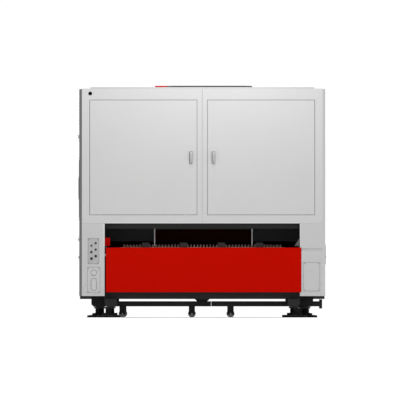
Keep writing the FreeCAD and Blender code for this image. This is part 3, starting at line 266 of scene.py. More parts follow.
feet = [(side * reach, y) for side in (-1, 1) for reach, y in
        ((913, -2085), (913, 2085), (1013, -1840), (1013, 1840), (1013, 450))]
hexagon = np.linspace(0, 2 * math.pi, 6, endpoint=False)
nut_levels = ((41, 88), (44, 90), (44, 103), (41, 105))
foot_nuts = []
for x, y in feet:
    foot_nuts.append(stacked([np.column_stack((x + reach * np.cos(hexagon), y + reach * np.sin(hexagon),
                                               np.full(6, z)))
                              for reach, z in nut_levels]))
fitted("foot_lock_nuts", foot_nuts, dark_steel, smooth=False)
fitted("foot_rims", [spun((x, y, 20), 2, [(112.6, 0), (113.2, 0.8), (112.6, 1.6), (108, 2.2), (64, 2.6)], 48)
                     for x, y in feet], dark_steel)
bed_beads = []
for side in (-1, 1):
    for y in range(-1500, 2000, 1200):
        bed_beads.append(weld((side * 959, y - 50, 402), (side * 959, y + 50, 402)))
    bed_beads.append(weld((side * 959, -2052, 200), (side * 959, -2052, 590)))
    bed_beads.append(weld((side * 959, 2052, 340), (side * 959, 2052, 590)))
fitted("bed_welds", bed_beads, black_paint)
clamps = []
arc = np.linspace(-0.15 * math.pi, 1.15 * math.pi, 41)
for y in (-1200, 0, 1200):
    for dy in (-8, 8):
        strap = np.column_stack((82.5 * np.cos(arc), np.full(41, y + dy + 300.0), 240 + 82.5 * np.sin(arc)))
        clamps.append(hose(strap, 2.4, 8))
fitted("duct_clamps", clamps, steel)
turn = np.linspace(0, 2 * math.pi, 49)
seams = [np.column_stack((81 * np.cos(turn), np.full(49, float(y)), 240 + 81 * np.sin(turn)))
         for y in range(-1600, 2100, 600)]
fitted("duct_seams", [hose(seam, 1.6, 6) for seam in seams], zinc_sheet)

# ---------------------------------------------------------------------------------------------
# Pallet table.  Welded black frame on ground tracks, carrying toothed mild steel slats that are cut
# and scorched in use; rest plates, slat clips, lifting eyes, a stop bar and cooled spatter.
# ---------------------------------------------------------------------------------------------
paint(black_paint, "pallet_frame")
# Ground bearing steel: bright metal with tight, clean highlights.
bearing_steel = coated("ground_bearing_steel", "#b8babc", 0.22, peel_mm=3.0, drift=0.05, metallic=1.0)
paint(bearing_steel, "pallet_tracks")


def scorched_steel(name):
    """Slat steel: brown-grey mill scale with darker burn marks and a rust-warm tint near the tips."""
    material = coated(name, "#8a5f52", 0.6, peel_mm=6.0, drift=0.25, metallic=0.2)
    tree = material.node_tree
    shader = tree.nodes["Principled BSDF"]
    where = add(tree, "TexCoord").outputs["Object"]
    height = add(tree, "SeparateXYZ", Vector=where).outputs["Z"]
    near_tip = add(tree, "MapRange", Value=height)
    for key, value in (("From Min", 0.64), ("From Max", 0.715), ("To Min", 0.0), ("To Max", 1.0)):
        near_tip.inputs[key].default_value = value
    blotch = add(tree, "TexNoise", Vector=where, Scale=28.0, Detail=4.0)
    burn = add(tree, "Math", {"operation": "MULTIPLY"}, n0=near_tip.outputs["Result"],
               n1=blotch.outputs["Fac"])
    tone = add(tree, "Mix", {"data_type": "RGBA"}, Factor=burn.outputs["Value"], n6=linear("#c9aaa2"),
               n7=linear("#a88a82"))
    tree.links.new(tone.outputs[2], shader.inputs["Base Color"])
    return material


slat_steel = scorched_steel("scorched_mild_steel")
paint(slat_steel, "pallet_slats")


def corner_outline(width, depth, corner, steps):
    """A rounded rectangle about the origin, anticlockwise: four quarter circles, side minus corner apart."""
    corner = max(min(corner, width / 2, depth / 2), 0.01)
    parts = []
    for quarter, (right, up) in enumerate(((1, 1), (-1, 1), (-1, -1), (1, -1))):
        turn = np.linspace(0, math.pi / 2, steps + 1) + quarter * math.pi / 2
        parts.append(np.column_stack((right * (width / 2 - corner) + corner * np.cos(turn),
                                      up * (depth / 2 - corner) + corner * np.sin(turn))))
    return np.vstack(parts)


def pad(low, high, axis=2, corner=1.0, edge=1.0, steps=3):
    """A block between two corners in mm, its outline rounded across one axis and its ends eased.

    Ring k of an eased end sits at edge * (1 - cos t) and is drawn in by edge * (1 - sin t), t = 0..90.
    """
    low, high = np.minimum(low, high).astype(float), np.maximum(low, high).astype(float)
    order = [(axis + 1) % 3, (axis + 2) % 3, axis]
    width, depth, height = (high - low)[order]
    edge = 0.49 * min(2 * edge, width, depth, height)
    bend = np.linspace(0, math.pi / 2, 4)
    rise, inset = edge * (1 - np.cos(bend)), edge * (1 - np.sin(bend))
    rings = []
    for level, drawn in zip(np.r_[rise, height - rise[::-1]], np.r_[inset, inset[::-1]]):
        outline = corner_outline(width - 2 * drawn, depth - 2 * drawn, corner, steps)
        ring = np.zeros((len(outline), 3))
        ring[:, order[:2]] = outline
        ring[:, axis] = level - height / 2
        rings.append(ring + (low + high) / 2)
    return stacked(rings)


def socket_screw(x, y, z, axis, sign, radius=4.0, proud=3.0):
    """A button-head screw standing proud of a face: a quarter-round crown with a hollow for the key."""
    crown = [(radius, 0), (radius, sign * proud * 0.45), (radius * 0.85, sign * proud * 0.85),
             (radius * 0.5, sign * proud), (radius * 0.48, sign * proud * 0.55), (0, sign * proud * 0.5)]
    return spun((x, y, z), axis, crown, 18)


# Sheet sprayed matt black, so that a level view and stray beam light find nothing to shine on.
trap = coated("matt_black_light_trap", "#121213", 0.9, drift=0.04, shine=0.05)
fitted("pallet_stop_bar", [pad((-929, 1470, 680), (929, 1479, 735), 0, 2, 1.5)], trap, "pallet")
# Plates scorched by the beam: brown-grey, dull and blotched.
rest_plate_steel = coated("scorched_rest_plate", "#5d5250", 0.6, drift=0.15)
fitted("pallet_rest_plates", [pad((x - 34, -1722.5, 686), (x + 38, -1720, 733), 1, 4, 1)
                              for x in 371 * (np.arange(4) - 1.5)], rest_plate_steel, "pallet")
fitted("pallet_stop_screws", [socket_screw(x, 1479, 700, 1, 1, 6, 4) for x in range(-880, 900, 220)],
       dark_steel, "pallet")
fitted("pallet_clips", [pad((side * 818, -1683 + 150 * i, 676), (side * 806, -1673 + 150 * i, 692), 2, 1, 1)
                        for side in (-1, 1) for i in range(21)], dark_steel, "pallet")
fitted("pallet_eyes", [spun((side * 905, y, 680), 2,
                            [(14, 0), (14, 2.5), (11, 3.6), (6, 3.6), (5.5, 0.8), (0, 0.8)], 26)
                       for side in (-1, 1) for y in (-1650, -700, 250, 1400)], dark_steel, "pallet")
rng = np.random.default_rng(7)
spatter = []
for _ in range(160):
    x, y = rng.choice((-1, 1)) * rng.uniform(828, 925), rng.uniform(-1700, 1440)
    r = rng.uniform(1.2, 3.4)
    spatter.append(spun((x, y, 680), 2, [(r, 0), (r * 0.95, r * 0.3), (r * 0.6, r * 0.62), (0, r * 0.75)], 8))
fitted("pallet_spatter", spatter, dark_steel, "pallet")

# ---------------------------------------------------------------------------------------------
# Gantry, carriage and cutting head.  Anodised beam with a toothed rack and a row of cable chain
# links; it runs on ground guide rails.  The carriage and the head's nozzle and rings ride on it.
# ---------------------------------------------------------------------------------------------
paint(bearing_steel, "guide_rails")
# Anodised aluminium: pale satin metal, hardly any drift in tone.
anodised = coated("natural_anodised_aluminium", "#b6b8ba", 0.35, peel_mm=4.0, drift=0.04, metallic=0.9)
paint(anodised, "gantry_beam", "cutting_head")
paint(black_paint, "carriage")


def rack(start, end, base, height, pitch, depth, place):
    """A toothed rack: saw profile with flat tips every pitch, carried through a depth.

    `place` turns (along, height, depth) into xyz.
    """
    at = start + np.arange(int((end - start) // pitch))[:, None] * pitch
    along = (at + np.array([0.15, 0.35, 0.65, 0.85]) * pitch).ravel()
    level = np.tile([base, height, height, base], len(at))
    top = np.column_stack((np.r_[start, along, end], np.r_[base, level, base]))
    foot = np.column_stack((top[:, 0], np.zeros(len(top))))
    n = len(top)
    points = np.vstack([place(layer[:, 0], layer[:, 1], d) for d in (0, depth) for layer in (top, foot)])
    around = np.array([[0, 1, n + 1, n], [2 * n + 1, 2 * n, 3 * n, 3 * n + 1],
                       [1, 0, 2 * n, 2 * n + 1], [n, n + 1, 3 * n + 1, 3 * n]])
    walls = (np.arange(n - 1)[:, None, None] + around).reshape(-1, 4)
    ends = [[0, n, 3 * n, 2 * n], [n - 1, 3 * n - 1, 4 * n - 1, 2 * n - 1]]
    return points * MM, walls.tolist() + ends


fitted("beam_rack", [rack(-960, 960, 5, 9, 9.42, 12, lambda a, h, d: np.column_stack(
    (a, np.full(len(a), -1340.0) + h, np.full(len(a), 990.0) + d)))], dark_steel, "gantry", smooth=False)
links = [pad((-900 + 36 * i, -1560, 1132), (-868 + 36 * i, -1470, 1168), 0, 6, 3) for i in range(46)]
# Moulded nylon and PVC: even tone and a soft plastic gloss, black and mid grey.
black_plastic = coated("black_glass_filled_nylon", "#18181a", 0.5, peel_mm=3.0, drift=0.08)
grey_plastic = coated("grey_pvc_wire_duct", "#8c9095", 0.5, peel_mm=3.0, drift=0.03)
fitted("beam_chain", links, black_plastic, "gantry")
fitted("beam_chain_pins", [spun((-884 + 36 * i, -1560.2, 1150), 1, [(7, 0), (7, -1.5), (5, -2.2), (0, -2.2)],
                                14)
                           for i in range(46)], grey_plastic, "gantry")
fitted("beam_tray", [pad((-960, -1566, 1129.6), (960, -1464, 1132.4), 0, 1, 0.5)], zinc_sheet, "gantry")
fitted("beam_rail_screws", [spun((-930 + 60 * i, -1320, z), 1, [(4.6, 0), (4.6, 0.7), (2, 0.7), (0, 0.2)], 14)
                            for i in range(32) for z in (935, 1095)], dark_steel, "gantry")
fitted("end_covers", [pad((side * 1111, -1600, 800), (side * 1107, -1300, 1110), 0, 10, 1.5)
                      for side in (-1, 1)],
       coated("gantry_cover_coat", "#d2d3d4", 0.4), "gantry")
fitted("gantry_motors", [spun((side * 1050, -1640, 1010), 1,
                              [(44, -60), (48, -56), (48, 0), (52, 2), (52, 18)], 32)
                         for side in (-1, 1)], black_paint, "gantry")
# EPDM rubber: black and matt, with almost no highlight.
black_rubber = coated("black_epdm_rubber", "#101011", 0.75, drift=0.08, shine=0.2)
fitted("guide_scrapers", [pad((side * 1014, y, 744), (side * 1061, y + 8, 782), 1, 3, 2) for side in (-1, 1)
                          for y in (-1629, -1279)], black_rubber, "gantry")
fitted("guide_screws", [spun((side * 1037.5, y, 775), 2, [(6, -0.2), (6, 0.5), (4.6, 0.8), (0, 0.8)], 14)
                        for side in (-1, 1) for y in range(-1630, 2080, 90)], dark_steel)
fitted("side_racks", [rack(-1650, 2070, 6, 11, 12.57, 16, lambda a, h, d, side=side: np.column_stack(
    (side * (np.full(len(a), 1078.0) + d), a, np.full(len(a), 739.5) + h))) for side in (-1, 1)],
       steel, smooth=False)
fitted("carriage_cover", [pad((-842, -1262, 898), (-558, -1257, 1182), 1, 10, 2)] +
       [pad((-838, -1258, z), (-776, -1254, z + 5), 1, 2, 1) for z in range(920, 1160, 18)] +
       [pad((-624, -1258, z), (-562, -1254, z + 5), 1, 2, 1) for z in range(920, 1160, 18)],
       coated("carriage_cover_coat", "#c9cacb", 0.4), "carriage")
fitted("carriage_motor", [pad((-832, -1330, 1192), (-752, -1262, 1262), 2, 8, 4),
                          spun((-792, -1296, 1262), 2, [(34, 0), (34, 30), (30, 34), (0, 34)], 30)],
       black_paint, "carriage")
axis_y = -1173
# Turned copper and brass: warm bright metal; ABS: off-white with a soft gloss.
copper = coated("turned_copper_nozzle", "#b8704a", 0.25, peel_mm=3.0, drift=0.06, metallic=1.0)
brass = coated("machined_brass", "#b08d3c", 0.28, peel_mm=3.0, drift=0.05, metallic=1.0)
white_plastic = coated("white_abs_housing", "#dcdcda", 0.4, peel_mm=3.0, drift=0.02)
fitted("head_nozzle", [spun((-700, axis_y, 800), 2, [(3, -0.4), (9.4, 0), (14, 10), (19, 30), (19, 36)], 32)],
       copper, "cutting_head")
fitted("head_ring", [spun((-700, axis_y, 836), 2, [(24, 0), (26, 2), (26, 8), (24, 10)], 32)], white_plastic,
       "cutting_head")
fitted("head_bands", [spun((-700, axis_y, z), 2, [(42.6, 0), (43.6, 1), (43.6, 5), (42.6, 6)], 40)
                      for z in (930, 990, 1060, 1120, 1160)], dark_steel, "cutting_head")
fitted("head_body_covers", [pad((-724, axis_y - 2, 1000), (-676, axis_y + 45, 1050), 2, 8, 3),
                            pad((-722, axis_y - 2, 1070), (-678, axis_y + 45, 1112), 2, 8, 3)],
       black_plastic, "cutting_head")
fitted("head_fittings", [spun((-700 + dx, axis_y + 30, z), 1, [(7, 0), (7, 8), (5, 10), (5, 18)], 18)
                         for dx, z in ((-16, 968), (16, 968), (-16, 945), (16, 945))], brass, "cutting_head")
fitted("head_fibre_socket",
       [spun((-700, axis_y, 1270), 2, [(20, 0), (20, 12), (12, 16), (8, 34), (6, 36)], 28)], steel,
       "cutting_head")

# ---------------------------------------------------------------------------------------------
# Opening of the cabinet end and light traps.  Folded header beam, bulkhead sheets with a curtain
# sheet between them and bright edge trims, a corner gusset, and baffles behind the loading guard.
# ---------------------------------------------------------------------------------------------


CURTAIN_FACE_Y = -1.6875


def baffle_material():
    """Matt black bulkhead sheet; the curtain sheet behind it, from CURTAIN_FACE_Y on, is a very dark red."""
    material = coated("matt_black_baffle", "#38383a", 0.9, drift=0.05, shine=0.05)
    tree = material.node_tree
    along = add(tree, "SeparateXYZ", Vector=add(tree, "TexCoord").outputs["Object"]).outputs["Y"]
    behind = add(tree, "Math", {"operation": "GREATER_THAN"}, n0=along, n1=CURTAIN_FACE_Y).outputs["Value"]
    tone = add(tree, "Mix", {"data_type": "RGBA"}, Factor=behind, n6=linear("#38383a"), n7=linear("#1d0402"))
    tree.links.new(tone.outputs[2], tree.nodes["Principled BSDF"].inputs["Base Color"])
    return material


paint(baffle_material(), "inner_bulkhead")
# Satin black coat on the folded header: even, with a broad dim highlight.
paint(coated("satin_black_header", "#262626", 0.55, drift=0.05, shine=0.1), "opening_header")
# Brushed trim strips: light grey flanges coloured near white, partly their own pale metal and partly painted
# highlight, so that they read as thin bright lines.
paint(coated("brushed_edge_trim_painted_highlight", "#f0f0f0", 0.45, drift=0.04), "bulkhead_trims")
gusset = np.array([(948, 698), (948, 776), (900, 698)], float)
shrink = (gusset - gusset.mean(0)) * 0.97 + gusset.mean(0)
rings = [np.column_stack((shape[:, 0], np.full(3, depth), shape[:, 1]))
         for shape, depth in ((shrink, -2152.0), (gusset, -2151.4), (gusset, -2146.6), (shrink, -2146.0))]
fitted("opening_gusset", [stacked([ring[::-1] for ring in rings])],
       coated("satin_grey_gusset", "#4a4a4b", 0.6), smooth=False)
fitted("slot_baffle", [pad((-960, 2105, 735.5), (960, 2109, 790), 0, 1, 0.8),
                       pad((-960, 2105, 602), (-930.8, 2109, 739), 2, 1, 0.8),
                       pad((930.8, 2105, 602), (960, 2109, 739), 2, 1, 0.8)], trap)

# ---------------------------------------------------------------------------------------------
# Sheet metal enclosure.  Folded steel sheet, powder coated light grey: a fine orange peel in the
# coat, a soft gloss and a slight drift in tone; hems and folds catch the light along their edges.
# ---------------------------------------------------------------------------------------------
# Powder coat: light grey, satin, with hardly any mirror; the posts are a shade darker than the panels.
panel_coat = coated("light_grey_powder_coat", "#a9a9a9", 0.5, shine=0.25)
post_coat = coated("light_grey_powder_coat_post", "#a4a4a4", 0.5, shine=0.25)
paint(post_coat, "rear_post_left", "rear_post_right", "service_cover", "right_service_cover")
paint(panel_coat, "rear_panel_left", "rear_panel_right", "left_wall", "right_wall", "loading_end_panels",
      "roof_panels")


def side_shaded_coat(name, left, right):
    """Corner trims: the grey coat on the +X side; on the -X side a darker tone that is painted shade, as if
    the light came from +X.
    """
    material = coated(name, left, 0.5, drift=0.0)
    tree = material.node_tree
    shader = tree.nodes["Principled BSDF"]
    across = add(tree, "SeparateXYZ", Vector=add(tree, "TexCoord").outputs["Object"]).outputs["X"]
    side = add(tree, "Math", {"operation": "GREATER_THAN"}, n0=across, n1=0.0).outputs["Value"]
    tone = add(tree, "Mix", {"data_type": "RGBA"}, Factor=side, n6=linear(left), n7=linear(right))
    tree.links.new(tone.outputs[2], shader.inputs["Base Color"])
    return material


# Painted shade: the -X corner trim is coloured #545454, darker than the #a8a8a8 of the +X trim, for the side
# turned from the light.
paint(side_shaded_coat("corner_powder_coat_painted_shade", "#545454", "#a8a8a8"), "corner_trims")
# The same coat on a fold's edge: lighter, as a rounded edge faces more of the light.
hem_coat = coated("light_grey_powder_coat_edge", "#b4b4b4", 0.5, drift=0.02, shine=0.2)
fitted("panel_hem", [pad((-952, -2201.4, 919), (-3, -2196, 930), 0, 1.2, 0.8),
                     pad((3, -2201.4, 919), (952, -2196, 930), 0, 1.2, 0.8)], hem_coat)
fitted("post_folds", [pad((-966, -2201.2, 690), (-952.2, -2190, 917), 2, 1.2, 0.8),
                      pad((952.2, -2201.0, 690), (960, -2190, 917), 2, 1.2, 0.8)], hem_coat)
fitted("centre_seam", [pad((-0.95, -2199.6, 1821), (0.95, -2197, 2228), 1, 0.4, 0.3)], black_rubber)
fitted("post_seams", [pad((side * 1173, -2200.6, 916.6), (side * 954, -2198, 919.2), 0, 0.6, 0.4)
                      for side in (-1, 1)],
       grey_plastic)

# ---------------------------------------------------------------------------------------------
# Red sheets.  The aprons, the limit block and the end of the roof cover: folded steel with a
# smooth satin signal red coat, and a folded lip along the apron's top and foot.
# ---------------------------------------------------------------------------------------------
# Signal red powder coat: deep, even and without a highlight.
red_coat = coated("signal_red_powder_coat", "#9e0a02", 0.5, drift=0.02, peel_depth_mm=0.03, shine=0.0)
paint(red_coat, "rear_apron", "loading_apron", "roof_vent_end", "limit_block")
fitted("apron_fold", [pad((-939, -2204.2, 678.2), (966, -2198, 683.2), 0, 1.6, 1.0),
                      pad((-939, -2204.2, 247.2), (966, -2198, 251.4), 0, 1.4, 1.0)], red_coat)

# ---------------------------------------------------------------------------------------------
# Roof.  Raised ribs stiffen the sheet, flush threaded sockets take lifting eyes, and the black
# coated cover has a row of slots and a line of screws along each side.
# ---------------------------------------------------------------------------------------------
# Black powder coat: dark grey where it catches the lamps, with a soft broad highlight.
paint(coated("black_roof_cover", "#303132", 0.45, drift=0.06), "roof_vent_cover")
fitted("roof_ribs", [pad((x0, y - 20, 2248.5), (x1, y + 20, 2255), 2, 8, 5) for y in range(-1800, 2000, 600)
                     for x0, x1 in ((-1060, -500), (520, 1060))], panel_coat)
fitted("lifting_sockets", [spun((x, y, 2249), 2,
                                [(24, 0), (24, 1.5), (21, 2.4), (12, 2.4), (11, 0.6), (0, 0.6)], 30)
                           for x in (-900, 900) for y in (-1980, 1980)], dark_steel)
fitted("vent_slots", [pad((-300, y - 9, 2261.6), (440, y + 9, 2264.5), 2, 6, 1.2)
                      for y in range(-2020, 800, 90)],
       dark_steel)
fitted("vent_screws", [socket_screw(x, y, 2262, 2, 1, 4.2, 2.4) for x in (-325, 466)
                       for y in range(-2080, 860, 360)],
       steel)

# ---------------------------------------------------------------------------------------------
# Left side, door and window.  Slate grey frames with rubber gaskets hold amber laser-safe sheet;
# the door slides on anodised rails and has a steel bar; louvres are pressed in the wall.
# ---------------------------------------------------------------------------------------------
paint(anodised, "side_door_rails")
# Slate grey coat: even and satin; the laser-safe sheet is amber, glossy and only a little clear.
paint(coated("slate_grey_door_frame", "#3b3d40", 0.42), "side_door", "window_frame")


def tinted_pane(name, code, alpha, roughness=0.08):
    """Laser-safe sheet: a clear tinted plastic, smooth and glossy."""
    material = bpy.data.materials.new(name)
    material.use_nodes = True
    shader = material.node_tree.nodes["Principled BSDF"]
    shader.inputs["Base Color"].default_value = linear(code)
    shader.inputs["Roughness"].default_value = roughness
    shader.inputs["Alpha"].default_value = alpha
    return material


paint(tinted_pane("amber_laser_safe_sheet", "#6e2f0a", 0.82), "side_door_window", "window_pane")


def frame_strips(x, y, z, width, depth):
    """Four strips round a rectangle in the YZ plane, outside its edge, standing between two X values."""
    near, far = x, x + depth
    return [pad((near, y[0] - width, z[0] - width), (far, y[0], z[1] + width), 0, 2, 1.2),
            pad((near, y[1], z[0] - width), (far, y[1] + width, z[1] + width), 0, 2, 1.2),
            pad((near, y[0], z[0] - width), (far, y[1], z[0]), 0, 2, 1.2),
            pad((near, y[0], z[1]), (far, y[1], z[1] + width), 0, 2, 1.2)]


fitted("side_door_gasket", frame_strips(-1213.5, (-860, 65), (995, 1538), 14, 6), black_rubber, "side_door")
fitted("window_gasket", frame_strips(-1212.5, (405, 1125), (995, 1538), 14, 6), black_rubber)


def curve(points, count=24):
    """A smooth path through points: each coordinate a Catmull-Rom cubic between its neighbours."""
    points = np.asarray(points, float)
    padded = np.vstack((2 * points[0] - points[1], points, 2 * points[-1] - points[-2]))
    t = np.linspace(0, 1, count // (len(points) - 1) + 2)[:-1, None]
    a, b, c, d = (padded[i:len(padded) - 3 + i, None] for i in range(4))
    path = 0.5 * (2 * b + (c - a) * t + (2 * a - 5 * b + 4 * c - d) * t ** 2
                  + (3 * b - a - 3 * c + d) * t ** 3)
    return np.vstack((path.reshape(-1, 3), points[-1]))


bar = curve([(-1212, 140, 1160), (-1220, 140, 1168), (-1223, 140, 1200), (-1223, 140, 1360),
             (-1220, 140, 1392),
             (-1212, 140, 1400)], 40)
fitted("side_door_bar", [hose(bar, 5, 14)], steel, "side_door")
fitted("side_door_rosettes", [spun((-1212, 140, z), 0, [(15, 0), (15, -2), (11, -4), (6, -4.5)], 28)
                              for z in (1160, 1400)], dark_steel, "side_door")
fitted("side_door_screws", [socket_screw(-1212, y, z, 0, -1, 4.5, 3) for y in (-990, -700, -400, -100, 195)
                            for z in (795, 965, 1568, 1738)], steel, "side_door")
fitted("window_frame_screws", [socket_screw(-1209, y, z, 0, -1, 4.5, 3) for y in (275, 600, 930, 1255)
                               for z in (795, 965, 1568, 1738)], steel)
fitted("side_rail_caps", [pad((-1214, 236, z - 14), (-1200.5, 248, z + 14), 0, 3, 1.5) for z in (760, 1773)],
       black_plastic)
fitted("side_rail_bolts", [socket_screw(-1212, y, z, 0, -1, 3.6, 2.4) for y in range(-2110, 230, 260)
                           for z in (759, 1774)], dark_steel)


LOUVRE_SHEET = 1.2
LOUVRE_CLEAR = 0.05


def louvre(centre, across, out, width=180.0, high=22.0, proud=7.0):
    """One pressed louvre on a wall: height over the sheet is proud * sin(pi u)^0.35 * v^0.7, open below.

    u runs along its width and v down its height; `across` and `out` are the wall's own directions.
    The back is the front moved in by the sheet's thickness; the rim between them is left open.
    """
    across, out, down = np.array(across, float), np.array(out, float), np.array((0, 0, -1.0))
    u, v = np.meshgrid(np.linspace(0, 1, 19), np.linspace(0, 1, 7))
    lift = proud * np.sin(math.pi * u) ** 0.35 * v ** 0.7 + LOUVRE_CLEAR
    u, v, lift = u[..., None], v[..., None], lift[..., None]
    front = centre + (u - 0.5) * width * across + (v - 0.5) * high * down + lift * out
    sheet = np.vstack((front.reshape(-1, 3), (front - LOUVRE_SHEET * out).reshape(-1, 3)))
    here = np.arange(lift.size).reshape(lift.shape[:2])
    quads = np.stack((here[:-1, :-1], here[:-1, 1:], here[1:, 1:], here[1:, :-1]), axis=-1).reshape(-1, 4)
    turned = quads[:, ::-1]
    faces_out = np.dot(np.cross(across, down), out) >= 0
    outer, inner = (quads, turned) if faces_out else (turned, quads)
    return sheet * MM, np.stack((outer, inner + here.size), axis=1).reshape(-1, 4).tolist()


wall_vents = [louvre((-1200, y, z), (0, 1, 0), (-1, 0, 0)) for y in (-1500, -1250, 700, 950)
              for z in range(330, 640, 34)]
wall_vents += [louvre((-1200, y, z), (0, 1, 0), (-1, 0, 0), proud=5.0) for y in (-1900, -1650)
               for z in range(1900, 2140, 34)]
fitted("left_louvres", wall_vents, panel_coat)
fitted("left_wall_screws", [socket_screw(-1200, y, z, 0, -1, 4.2, 2.6) for y in (-2140, -1040, 1360, 2140)
                            for z in (240, 560, 1850, 2190)], steel)

# ---------------------------------------------------------------------------------------------
# Operator console.  Moulded recess in the left wall with a glass screen that shows plain blocks
# and a curve, a keypad, three knobs, a green start button and a red stop button in a yellow ring.
# ---------------------------------------------------------------------------------------------
# Moulded plastic and glass: deep black with a soft gloss, and a smooth dark pane that mirrors the room.
black_moulding = coated("black_moulded_plastic", "#161617", 0.55, peel_mm=3.0, drift=0.1)
paint(black_moulding, "console_recess")
paint(tinted_pane("dark_screen_glass", "#0b0e12", 1.0, 0.12), "console_screen")
# Moulded buttons: strong plain colours with a hard, wet-looking gloss.
paint(coated("gloss_red_button", "#c8100c", 0.2, coat=0.5, drift=0.02), "emergency_stop")
paint(coated("gloss_green_button", "#1e8f3c", 0.2, coat=0.5, drift=0.02), "start_button")
screen_x = -1166
fitted("screen_bezel", frame_strips(-1168.5, (1500, 1900), (1290, 1600), 12, 6), black_plastic)
blocks = [pad((screen_x - 0.8, 1508, 1574), (screen_x + 0.3, 1892, 1592), 0, 1, 0.2),
          pad((screen_x - 0.8, 1508, 1300), (screen_x + 0.3, 1560, 1568), 0, 2, 0.2)]
fitted("screen_header", blocks, coated("screen_slate_pixels", "#27384f", 0.2, drift=0.0))
tiles = [pad((screen_x - 0.8, 1780 + 38 * (i % 3), 1310 + 38 * (i // 3)),
             (screen_x + 0.3, 1810 + 38 * (i % 3), 1340 + 38 * (i // 3)), 0, 3, 0.2) for i in range(15)]
fitted("screen_tiles", tiles, coated("screen_teal_pixels", "#2f8f9a", 0.2, drift=0.0))
turn = np.linspace(0, 2 * math.pi, 61)
plot = [hose(np.column_stack((np.full(61, screen_x - 0.4), 1665 + (60 + 14 * np.cos(5 * turn)) * np.cos(turn),
                              1437 + (60 + 14 * np.cos(5 * turn)) * np.sin(turn))), 1.1, 6),
        hose([(screen_x - 0.4, 1575, 1320), (screen_x - 0.4, 1755, 1320)], 0.9, 6),
        hose([(screen_x - 0.4, 1575, 1320), (screen_x - 0.4, 1575, 1555)], 0.9, 6)]
fitted("screen_tool_path", plot, coated("screen_green_pixels", "#59c26b", 0.2, drift=0.0))
keys = [pad((-1162, 1760 + 22 * column, 1110 + 22 * row), (-1157.6, 1777 + 22 * column, 1127 + 22 * row), 0,
            3, 1.2)
        for column in range(7) for row in range(5)]
fitted("console_keys", keys, grey_plastic)
fitted("console_key_plate", [pad((-1159.4, 1752, 1102), (-1157.8, 1920, 1222), 0, 5, 0.5)], black_plastic)
fitted("console_knobs", [spun((-1158, y, 1232), 0,
                              [(13, 0), (13, -3), (9.5, -4), (8.8, -17), (7, -19), (0, -19)], 28)
                         for y in (1500, 1560, 1620)], black_plastic)
fitted("console_knob_marks", [pad((-1177.6, y - 0.8, 1233), (-1176.6, y + 0.8, 1240), 0, 0.4, 0.2)
                              for y in (1500, 1560, 1620)], white_plastic)
fitted("console_trim", frame_strips(-1203, (1450, 1950), (1050, 1650), 12, 4), black_rubber)
# Safety yellow paint: even and satin, for the stop ring and the guard's band.
yellow_paint = coated("yellow_safety_paint", "#e0b411", 0.5, drift=0.04)
fitted("stop_button_ring",
       [spun((-1163.4, 1570, 1160), 0, [(28, 0), (28, -1.4), (24, -2.2), (15.5, -2.2)], 36)],
       yellow_paint)

# ---------------------------------------------------------------------------------------------
# Right side.  Service door with louvres, a bow handle, quarter-turn locks and a rubber edge; the
# wall carries louvred panels and round fan plates behind wire guards.
# ---------------------------------------------------------------------------------------------
paint(panel_coat, "service_door")
fitted("service_louvres", [louvre((1200, y, z), (0, 1, 0), (1, 0, 0)) for y in (-330, -60, 210)
                           for z in range(1230, 1780, 34)], panel_coat, "service_door")
bow = curve([(1208, 545, 1412), (1212, 545, 1420), (1213, 545, 1440), (1213, 545, 1520), (1212, 545, 1540),
             (1208, 545, 1548)], 40)
fitted("service_bow", [hose(bow, 6, 14)], dark_steel, "service_door")
fitted("service_locks", [spun((1200, 585, z), 0, [(15, 0), (15, 2), (12, 4.5), (4, 5), (3.6, 2.5), (0, 2.5)],
                              30)
                         for z in (1250, 1740)], steel, "service_door")
fitted("service_seal", [pad((1194, -612, 1156), (1197.2, -602, 1836), 0, 2, 1), pad((1194, 602, 1156),
                        (1197.2, 612, 1836), 0, 2, 1), pad((1194, -602, 1156), (1197.2, 602, 1166), 0, 2, 1),
                        pad((1194, -602, 1826), (1197.2, 602, 1836), 0, 2, 1)], black_rubber, "service_door")
fitted("hinge_screws", [socket_screw(1202, -595, z + dz, 0, 1, 3, 2) for z in (1298, 1694)
                        for dz in (8, 28)], steel,
       "service_door")
fan_rings, fan_blades = [], []
turn = np.linspace(0, 2 * math.pi, 41)
for y in (-1700, -1350, 1150, 1500):
    for reach in (28, 52, 76, 100):
        wire = np.column_stack((np.full(41, 1206.0), y + reach * np.cos(turn), 620 + reach * np.sin(turn)))
        fan_rings.append(hose(wire, 1.8, 8))
    for spoke in range(4):
        angle = math.pi / 4 + spoke * math.pi / 2
        fan_rings.append(hose([(1206, y + 20 * math.cos(angle), 620 + 20 * math.sin(angle)),
                               (1206, y + 106 * math.cos(angle), 620 + 106 * math.sin(angle))], 1.8, 8))
    fan_blades.append(spun((1200, y, 620), 0, [(106, 0), (106, 1.6), (100, 2.4), (0, 2.4)], 48))
    fan_blades.append(spun((1202.4, y, 620), 0, [(26, 0), (26, 2.2), (22, 3.4), (0, 3.4)], 32))
fitted("fan_guards", fan_rings, steel)
fitted("fan_plates", fan_blades, black_plastic)
fitted("right_louvres", [louvre((1200, y, z), (0, 1, 0), (1, 0, 0)) for y in (-1650, -1400, 1200, 1450)
                         for z in range(1300, 1700, 34)], panel_coat)
fitted("right_wall_screws", [socket_screw(1200, y, z, 0, 1, 4.2, 2.6) for y in (-2140, -1020, 1020, 2140)
                             for z in (240, 700, 1250, 2190)], steel)

